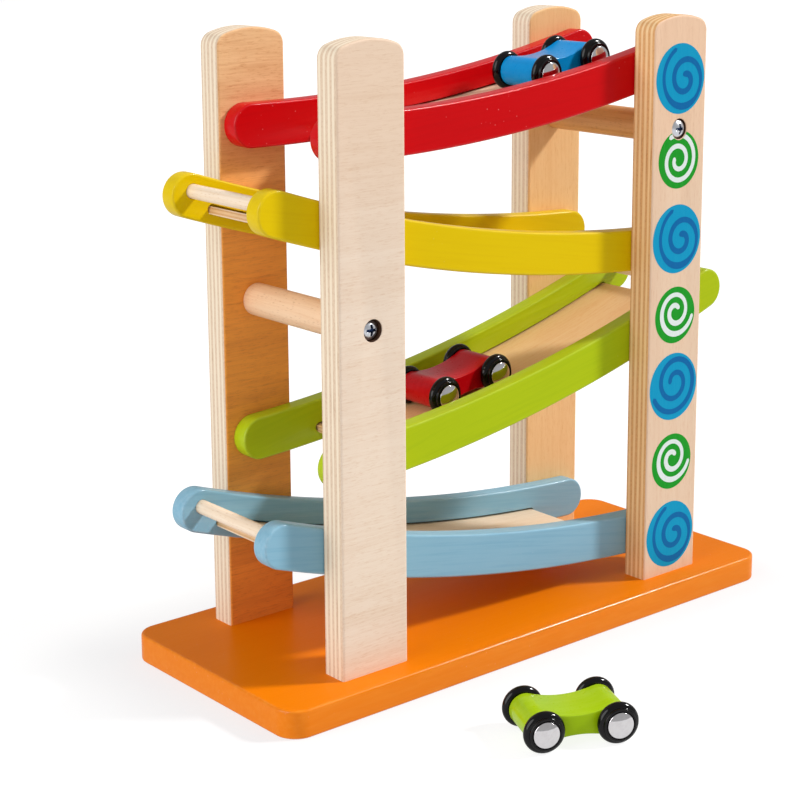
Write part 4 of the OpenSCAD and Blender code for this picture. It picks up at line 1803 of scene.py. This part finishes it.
@dataclass
class Car:
    """A little car: an hourglass body, four turned wheels and a domed cap on each.

    The shifts move the pattern of each piece for each letter of the car's name.
    """

    name: str
    lacquer: Lacquer
    body_w: float = 20.4 * MM
    end_r: float = 6.5 * MM
    waist_half_h: float = 4.2 * MM
    wheelbase: float = 30.4 * MM
    ease: float = 0.5 * MM
    wheel_r: float = 8.5 * MM
    wheel_w: float = 5 * MM
    tread_r: float = 1.9 * MM
    boss_r: float = 6.7 * MM
    boss_rise: float = 0.9 * MM
    boss_ease: float = 0.35 * MM
    face_dip: float = 0.15 * MM
    face_ease: float = 0.1 * MM
    bore_r: float = 1.55 * MM
    hub_r: float = 5.7 * MM
    hub_depth: float = 0.8 * MM
    hub_ease: float = 0.15 * MM
    seat_ease: float = 0.2 * MM
    wheel_gap: float = 0.3 * MM
    cap_r: float = 5.3 * MM
    cap_rim: float = 0.7 * MM
    cap_rise: float = 1.3 * MM
    cap_back_ease: float = 0.2 * MM
    cap_ease: float = 0.3 * MM
    dome_rings: int = 9
    body_shift: float = 0.21
    wheel_shift: float = 0.3

    def wheel_node(self, side: Side, row: Row) -> str:
        """The name of a wheel's node, which is its body's name too."""
        return f"{self.name}_wheel_{side.name.lower()}_{row.name.lower()}"

    def placing(self) -> Matrix:
        """From the car's own frame to the toy's, worked out from the places of its four wheels.

        Returns:
            The matrix.
        """
        spots = {corner: box_middle(self.wheel_node(*corner)) for corner in CORNERS}
        middle = sum(spots.values(), Vector()) / len(spots)
        along = (spots[Side.RIGHT, Row.FRONT] - spots[Side.LEFT, Row.FRONT]).normalized()
        across = (spots[Side.LEFT, Row.REAR] - spots[Side.LEFT, Row.FRONT]).normalized()
        up = along.cross(across)
        turn = Matrix((along, across, up)).transposed().to_4x4()
        return Matrix.Translation(middle) @ turn

    def body_outline(self) -> Outline:
        """Round ends about the axles, with a hollow waist above and below that meets them.

        Returns:
            The outline.
        """
        half = self.wheelbase / 2
        spread = half**2 + self.waist_half_h**2 - self.end_r**2
        waist_r = spread / 2 / (self.end_r - self.waist_half_h)
        lift = self.waist_half_h + waist_r
        meet = math.atan2(lift, -half)
        dip = math.atan2(-lift, half)
        return (
            arc((half, 0.0), self.end_r, -meet, meet, 56)
            + arc((0.0, lift), waist_r, dip, -HALF_TURN - dip, 34, Bend.HOLLOW)
            + arc((-half, 0.0), self.end_r, HALF_TURN - meet, HALF_TURN + meet, 56)
            + arc((0.0, -lift), waist_r, HALF_TURN + dip, -dip, 34, Bend.HOLLOW)
        )

    def wheel(self) -> Turned:
        """A wheel from its inner face outwards: rounded tread, raised hub, recess for the cap.

        Returns:
            The wheel.
        """
        shoulder = self.wheel_w - self.boss_rise
        seat = self.wheel_w - self.hub_depth
        corners = [
            (0.0, self.bore_r, 0.0),
            (0.0, self.wheel_r, self.tread_r),
            (shoulder, self.wheel_r, self.tread_r),
            (shoulder - self.face_dip, self.boss_r + self.face_ease, self.face_ease),
            (self.wheel_w, self.boss_r, self.boss_ease),
            (self.wheel_w, self.hub_r, self.hub_ease),
            (seat, self.hub_r, self.seat_ease),
            (seat, self.bore_r, 0.0),
        ]
        shift = len(self.name) * self.wheel_shift
        return Turned(corners, closed=True, steps=96, shift=(shift, 0.0, 0.0))

    def cap(self) -> Turned:
        """A domed cap from its back outwards.

        Returns:
            The cap.
        """
        dome_r = (self.cap_r**2 + self.cap_rise**2) / 2 / self.cap_rise
        corners = [
            (0.0, 0.0, 0.0),
            (0.0, self.cap_r, self.cap_back_ease),
            (self.cap_rim, self.cap_r, self.cap_ease),
        ]
        for k in range(1, self.dome_rings + 1):
            reach = self.cap_r * (1 - k / self.dome_rings)
            height = math.sqrt(dome_r**2 - reach**2) - (dome_r - self.cap_rise)
            corners.append((self.cap_rim + height, reach, 0.0))
        return Turned(corners)

    def outward(self, placing: Matrix, side: Side, row: Row, reach: float) -> Matrix:
        """The placing of a turned piece on an axle.

        Args:
            placing: The car's placing.
            side: Which axle.
            row: Which side of the car.
            reach: How far from the car's mid plane the piece starts.

        Returns:
            The matrix, whose first axis points out of the car.
        """
        spot = Matrix.Translation((side.value * self.wheelbase / 2, row.value * reach, 0.0))
        return placing @ spot @ Matrix.Rotation(row.value * QUARTER, 4, "Z")

    def build(self, bench: Bench) -> None:
        """Builds and dresses the car.

        Args:
            bench: Where its pieces go.
        """
        placing = self.placing()
        shift = len(self.name) * self.body_shift
        slab = Slab(self.body_outline(), self.body_w, self.ease, shift=(shift, 0.0, shift))
        mesh = slab.mesh(f"{self.name}_shell", placing)
        bench.show(mesh, self.lacquer, self.name, [f"{self.name}_body"])
        wheel_in = self.body_w / 2 + self.wheel_gap
        cap_back = wheel_in + self.wheel_w - self.hub_depth + self.wheel_gap
        for side, row in CORNERS:
            node = self.wheel_node(side, row)
            spot = self.outward(placing, side, row, wheel_in)
            mesh = turned_mesh(node + "_turned", [(self.wheel(), spot)])
            bench.show(mesh, WHEEL_BLACK, node, [node])
        caps = [(self.cap(), self.outward(placing, side, row, cap_back)) for side, row in CORNERS]
        mesh = turned_mesh(f"{self.name}_domed_caps", caps)
        bench.show(mesh, CAP_CHROME, self.name, [f"{self.name}_caps"])
        for side in Side:
            bench.dress_node(f"{self.name}_{side.name.lower()}_axle", AXLE_STEEL)


@dataclass(frozen=True)
class Disc:
    """One colour of printed disc: its inks, its radius and which way its spirals turn."""

    ground: Ink
    stroke: Ink
    radius: float
    winding: Winding


@dataclass(frozen=True)
class Print:
    """One kind of print: its disc, and where its spiral starts, how far it goes and how it swells.

    The swell is the spiral's width at shares of its length, as a share of the full width.
    """

    label: str
    disc: Disc
    middle: tuple[float, float]
    start_deg: float
    start_r: float
    end_r: float
    turns: float
    width: float
    swell: Sequence[tuple[float, float]]


BLUE_DISC = Disc(BLUE_INK, BLUE_STROKE_INK, 15.6 * MM, Winding.CLOCKWISE)
GREEN_DISC = Disc(GREEN_INK, WHITE_STROKE_INK, 13 * MM, Winding.COUNTER)
EVEN_STROKE = ((0.0, 0.97), (0.5, 1.0), (1.0, 0.97))
BLUE_BRUSH = (
    (0.0, 0.95), (0.12, 0.86), (0.42, 0.8), (0.54, 0.56),
    (0.64, 1.0), (0.73, 0.86), (0.84, 0.62), (1.0, 0.64),
)
WHITE_BRUSH = (
    (0.0, 0.72), (0.14, 0.84), (0.4, 0.66), (0.6, 0.8), (0.76, 0.88), (0.88, 0.76), (1.0, 0.6),
)
BLUE_BRUSHED = Print(
    "blue_brushed", BLUE_DISC, middle=(2.85 * MM, -0.4 * MM), start_deg=122,
    start_r=1.5 * MM, end_r=14.8 * MM, turns=2.03, width=3.1 * MM, swell=BLUE_BRUSH,
)
BLUE_EVEN = Print(
    "blue_even", BLUE_DISC, middle=(0.8 * MM, 1.9 * MM), start_deg=190,
    start_r=2.6 * MM, end_r=14.8 * MM, turns=1.97, width=2.5 * MM, swell=EVEN_STROKE,
)
GREEN_BRUSHED = Print(
    "green_brushed", GREEN_DISC, middle=(0.4 * MM, 1.5 * MM), start_deg=24,
    start_r=2.0 * MM, end_r=11.4 * MM, turns=1.9, width=3.0 * MM, swell=WHITE_BRUSH,
)
GREEN_EVEN = Print(
    "green_even", GREEN_DISC, middle=(-0.3 * MM, -0.3 * MM), start_deg=147,
    start_r=2.2 * MM, end_r=11.8 * MM, turns=1.93, width=2.2 * MM, swell=EVEN_STROKE,
)


@dataclass
class PrintedPost:
    """The row of printed discs on the front of the front right post.

    The tiny values keep a spiral's share and width above nothing at its very ends.
    """

    node: str = "post_front_right"
    layer: float = 0.05 * MM
    bore_r: float = 4.95 * MM
    drill_l: float = 1 * MM
    tiny_share: float = 0.0001
    tiny_width: float = 0.0004

    def places(self) -> list[tuple[Print, float]]:
        """Each disc's kind and height above the table, from the top down.

        Returns:
            Pairs of a kind of print and a height.
        """
        return [
            (BLUE_BRUSHED, 241.5 * MM),
            (GREEN_EVEN, 205.5 * MM),
            (BLUE_BRUSHED, 169.6 * MM),
            (GREEN_BRUSHED, 134.6 * MM),
            (BLUE_EVEN, 101.2 * MM),
            (GREEN_BRUSHED, 65.7 * MM),
            (BLUE_BRUSHED, 30.7 * MM),
        ]

    def drilled(self, recipe: Recipe, solid: Wire) -> Wire:
        """Cuts the screw's counterbore out of a print.

        Args:
            recipe: The tree.
            solid: The print in the plane of the post's face.

        Returns:
            The print without what the bore takes away.
        """
        bore_r = recipe.size("Bore Radius", self.bore_r)
        bore_x = recipe.size("Bore Place", box_middle("right_crossbar").x)
        bore_z = recipe.size("Bore Height", box_middle("right_crossbar").z)
        drill = recipe.cylinder({"Vertices": 64, "Radius": bore_r, "Depth": self.drill_l})
        drill = recipe.moved(drill, recipe.join(bore_x, bore_z, 0.0))
        settings = {"operation": "DIFFERENCE", "solver": "EXACT"}
        cut = recipe.add("GeometryNodeMeshBoolean", settings, {0: solid})
        recipe.tree.links.new(drill.socket, cut.inputs[1])
        return Wire(recipe, cut.outputs[0])

    def ground(self, bench: Bench, kind: Print, height: float, name: str) -> bpy.types.Mesh:
        """One disc of ink, in the plane of the post's face.

        Args:
            bench: Where its material comes from.
            kind: The kind of print.
            height: Its middle's height above the table.
            name: The mesh's name.

        Returns:
            The mesh.
        """
        recipe = Recipe(name)
        radius = recipe.size("Disc Radius", kind.disc.radius)
        layer = recipe.size("Ink Layer", self.layer)
        disc_z = recipe.size("Disc Height", height)
        middle_x = recipe.size("Disc Place", box_middle(self.node).x)
        disc = recipe.cylinder({"Vertices": 128, "Radius": radius, "Depth": layer})
        placed = recipe.moved(disc, recipe.join(middle_x, disc_z, 0.0))
        return recipe.run(name, self.drilled(recipe, placed), bench.material(kind.disc.ground))

    def stroke(self, bench: Bench, kind: Print, height: float, name: str) -> bpy.types.Mesh:
        """One spiral: a flat band of ink along a spiral curve, which swells and ends round.

        Args:
            bench: Where its material comes from.
            kind: The kind of print.
            height: Its disc's middle's height above the table.
            name: The mesh's name.

        Returns:
            The mesh.
        """
        recipe = Recipe(name)
        start_r = recipe.size("Start Radius", kind.start_r)
        end_r = recipe.size("End Radius", kind.end_r)
        turns = recipe.size("Turns", kind.turns)
        width = recipe.size("Stroke Width", kind.width)
        layer = recipe.size("Ink Layer", self.layer)
        start = recipe.size("Start Angle", math.radians(kind.start_deg))
        spot_x = recipe.size("Spiral Place", box_middle(self.node).x + kind.middle[0])
        spot_z = recipe.size("Spiral Height", height + kind.middle[1])
        values = {
            "Resolution": 90,
            "Rotations": turns,
            "Start Radius": start_r,
            "End Radius": end_r,
            "Height": 0.0,
            "Reverse": kind.disc.winding is Winding.COUNTER,
        }
        path = recipe.out("GeometryNodeCurveSpiral", None, values, "Curve")
        path = recipe.out("GeometryNodeSetCurveNormal", {"mode": "Z_UP"}, {0: path})
        along = recipe.add("GeometryNodeSplineParameter")
        share, walked = Wire(recipe, along.outputs["Factor"]), Wire(recipe, along.outputs["Length"])
        swell = recipe.out("ShaderNodeFloatCurve", {"knots": kind.swell}, {"Value": share})
        whole = walked / share.most(self.tiny_share)
        near_end = walked.least(whole - walked).most(0.0)
        inside = (near_end / (width * swell * 0.5)).least(1.0)
        round_end = (1.0 - (1.0 - inside) * (1.0 - inside)).most(self.tiny_width).root()
        values = {"Width": width, "Height": layer}
        section = recipe.out("GeometryNodeCurvePrimitiveQuadrilateral", None, values)
        values = {"Curve": path, "Profile Curve": section, "Fill Caps": True}
        values["Scale"] = swell * round_end
        band = recipe.out("GeometryNodeCurveToMesh", None, values)
        spot = recipe.join(spot_x, spot_z, layer)
        placed = recipe.moved(band, spot, recipe.join(0.0, 0.0, start))
        return recipe.run(name, self.drilled(recipe, placed), bench.material(kind.disc.stroke))

    def build(self, bench: Bench) -> None:
        """Builds and dresses the discs and their spirals, numbered from the top down.

        Args:
            bench: Where its pieces go.
        """
        low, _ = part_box(self.node)
        upright = Matrix.Rotation(QUARTER, 4, "X")
        face = Matrix.Translation((0.0, low.y - self.layer / 2, 0.0)) @ upright
        for k, (kind, height) in enumerate(self.places(), 1):
            name = f"print_{k}_{kind.label}"
            ground = clean_mesh(self.ground(bench, kind, height, name + "_disc"), face)
            bench.show(ground, kind.disc.ground, TRACK)
            stroke = clean_mesh(self.stroke(bench, kind, height, name + "_spiral"), face)
            bench.show(stroke, kind.disc.stroke, TRACK)


@dataclass(frozen=True)
class Sun:
    """A soft light from far away: the way to it, how wide it looks and its irradiance."""

    name: str
    way: tuple[float, float, float]
    spread_deg: float
    strength: float


@dataclass
class Studio:
    """The pale floor, the soft lights and the camera at the photograph's place.

    The floor's own glow, on top of the light that falls on it, goes from near_glow at the base
    board to far_glow past the fade. Its light on the toy is hidden_glow.
    """

    camera_spot: tuple[float, float, float] = (-552.9 * MM, -619.5 * MM, 331.1 * MM)
    yaw_deg: float = -39.838
    pitch_deg: float = 11.913
    roll_deg: float = -0.341
    sensor: float = 36.0
    focal_pixels: float = 1931.7
    frame_pixels: float = 800.0
    middle_pixel: float = 280.0
    clip: tuple[float, float] = (0.01, 50.0)
    suns: Sequence[Sun] = (
        Sun("key_right", (0.67, -0.42, 0.61), 8, 2.8),
        Sun("side_left", (-0.9, 0.06, 0.42), 50, 1.7),
    )
    ambient: float = 0.4
    floor_reach: float = 4.0
    fade: float = 60 * MM
    paper: tuple[Colour, Colour] = (srgb(137, 137, 137), srgb(134, 134, 135))
    near_glow: Colour = srgb(220, 220, 221)
    far_glow: Colour = srgb(237, 237, 237)
    hidden_glow: Colour = srgb(184, 184, 184)

    def add_camera(self) -> None:
        """Places the camera."""
        data = bpy.data.cameras.new("camera")
        data.sensor_width = self.sensor
        data.lens = self.focal_pixels * self.sensor / self.frame_pixels
        data.shift_y = (self.middle_pixel - self.frame_pixels / 2) / self.frame_pixels
        data.clip_start, data.clip_end = self.clip
        camera = bpy.data.objects.new("camera", data)
        bpy.context.scene.collection.objects.link(camera)
        yaw, pitch = math.radians(self.yaw_deg), math.radians(self.pitch_deg)
        level = math.cos(pitch)
        back = Vector((math.sin(yaw) * level, -math.cos(yaw) * level, math.sin(pitch)))
        look = (-back).to_track_quat("-Z", "Y").to_matrix().to_4x4()
        roll = Matrix.Rotation(math.radians(self.roll_deg), 4, "Z")
        camera.matrix_world = Matrix.Translation(self.camera_spot) @ look @ roll
        bpy.context.scene.camera = camera

    @staticmethod
    def add_light(sun: Sun) -> None:
        """Adds one light, which needs no place, only the way that it shines.

        Args:
            sun: The light.
        """
        data = bpy.data.lights.new(sun.name, "SUN")
        data.angle = math.radians(sun.spread_deg)
        data.energy = sun.strength
        light = bpy.data.objects.new(sun.name, data)
        light.rotation_mode = "QUATERNION"
        light.rotation_quaternion = (-Vector(sun.way)).to_track_quat("-Z", "Y")
        bpy.context.scene.collection.objects.link(light)

    def add_world(self) -> None:
        """Adds the white surroundings, which light the toy less than the camera sees them."""
        world = bpy.data.worlds.new("studio")
        bpy.context.scene.world = world
        world.use_nodes = True
        graph = Graph(world.node_tree)
        graph.tree.nodes.clear()
        seen = graph.out("ShaderNodeLightPath", None, None, "Is Camera Ray")
        strength = seen * (1.0 - self.ambient) + self.ambient
        values = {"Color": (1.0, 1.0, 1.0, 1.0), "Strength": strength}
        sky = graph.add("ShaderNodeBackground", None, values)
        graph.add("ShaderNodeOutputWorld", None, {"Surface": sky.outputs[0]})

    def add_floor(self) -> None:
        """Adds the pale floor, which glows less at the base board, so that shadows show there."""
        _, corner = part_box("base_board")
        work = bmesh.new()
        bmesh.ops.create_grid(work, x_segments=1, y_segments=1, size=self.floor_reach)
        mesh = bpy.data.meshes.new("studio_floor")
        work.to_mesh(mesh)
        work.free()
        paint = Paint("studio_paper", False)
        tone = paint.noise((14, 14, 14), 3.0)
        base = paint.mix(tone.rise(0.4, 0.7), *self.paper)
        seen = paint.out("ShaderNodeLightPath", None, None, "Is Camera Ray")
        x, y, _ = paint.split(paint.add("ShaderNodeTexCoord").outputs["Object"])
        aside, ahead = (abs(x) - corner.x).most(0.0), (abs(y) - corner.y).most(0.0)
        away = (aside * aside + ahead * ahead).root()
        glow = paint.mix(away.rise(self.fade, 0.0), self.far_glow, self.near_glow)
        values = {
            "Base Color": base,
            "Roughness": 0.85,
            "Specular IOR Level": 0.2,
            "Emission Color": paint.mix(seen, self.hidden_glow, glow),
            "Emission Strength": 1.0,
        }
        mesh.materials.append(paint.coat(values))
        floor = bpy.data.objects.new("studio_floor", mesh)
        bpy.context.scene.collection.objects.link(floor)

    def build(self) -> None:
        """Sets up floor, lights, surroundings and camera."""
        self.add_floor()
        self.add_world()
        for sun in self.suns:
            self.add_light(sun)
        self.add_camera()
        bpy.context.scene.view_settings.view_transform = "Standard"


# How far the rails' lower edges lie above the base board and above each other, from the bottom up.
RAMP_LIFTS = {"blue": 20.9 * MM, "green": 67.8 * MM, "yellow": 65.8 * MM, "red": 57.6 * MM}


def ramps() -> list[Ramp]:
    """The four ramps, from the top down.

    Returns:
        The ramps.
    """
    edge_z: dict[str, float] = {}
    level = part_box("base_board")[1].z
    for name, lift in RAMP_LIFTS.items():
        level += lift
        edge_z[name] = level
    red = Ramp(
        "red", RED_LACQUER, Side.RIGHT, 5.95, edge_z["red"],
        rail_l=209.4 * MM, middle_x=3.3 * MM, drop_gap=44 * MM, has_stop=False,
    )
    yellow = Ramp("yellow", YELLOW_LACQUER, Side.LEFT, 10.6, edge_z["yellow"])
    green = Ramp(
        "green", GREEN_LACQUER, Side.RIGHT, 11.45, edge_z["green"],
        drop_gap=39 * MM, floor_ply=WARM_FLOOR_PLY,
    )
    blue = Ramp("blue", BLUE_LACQUER, Side.LEFT, 10.7, edge_z["blue"])
    return [red, yellow, green, blue]


def cars() -> list[Car]:
    """The three cars, from the top down.

    Returns:
        The cars.
    """
    return [
        Car("blue_car", BLUE_CAR_LACQUER),
        Car("red_car", RED_CAR_LACQUER),
        Car("green_car", GREEN_CAR_LACQUER),
    ]


def main() -> None:
    """Builds every piece in order, then the studio."""
    logging.basicConfig(level=logging.INFO, format="%(name)s %(message)s")
    bench = Bench()
    BaseBoard().build(bench)
    for side in Side:
        for row in Row:
            Post(side, row).build(bench)
        Crossbar(side).build(bench)
    CrossbarScrews().build(bench)
    for piece in (*ramps(), *cars(), PrintedPost()):
        piece.build(bench)
    Studio().build()


if __name__ == "__main__":
    main()
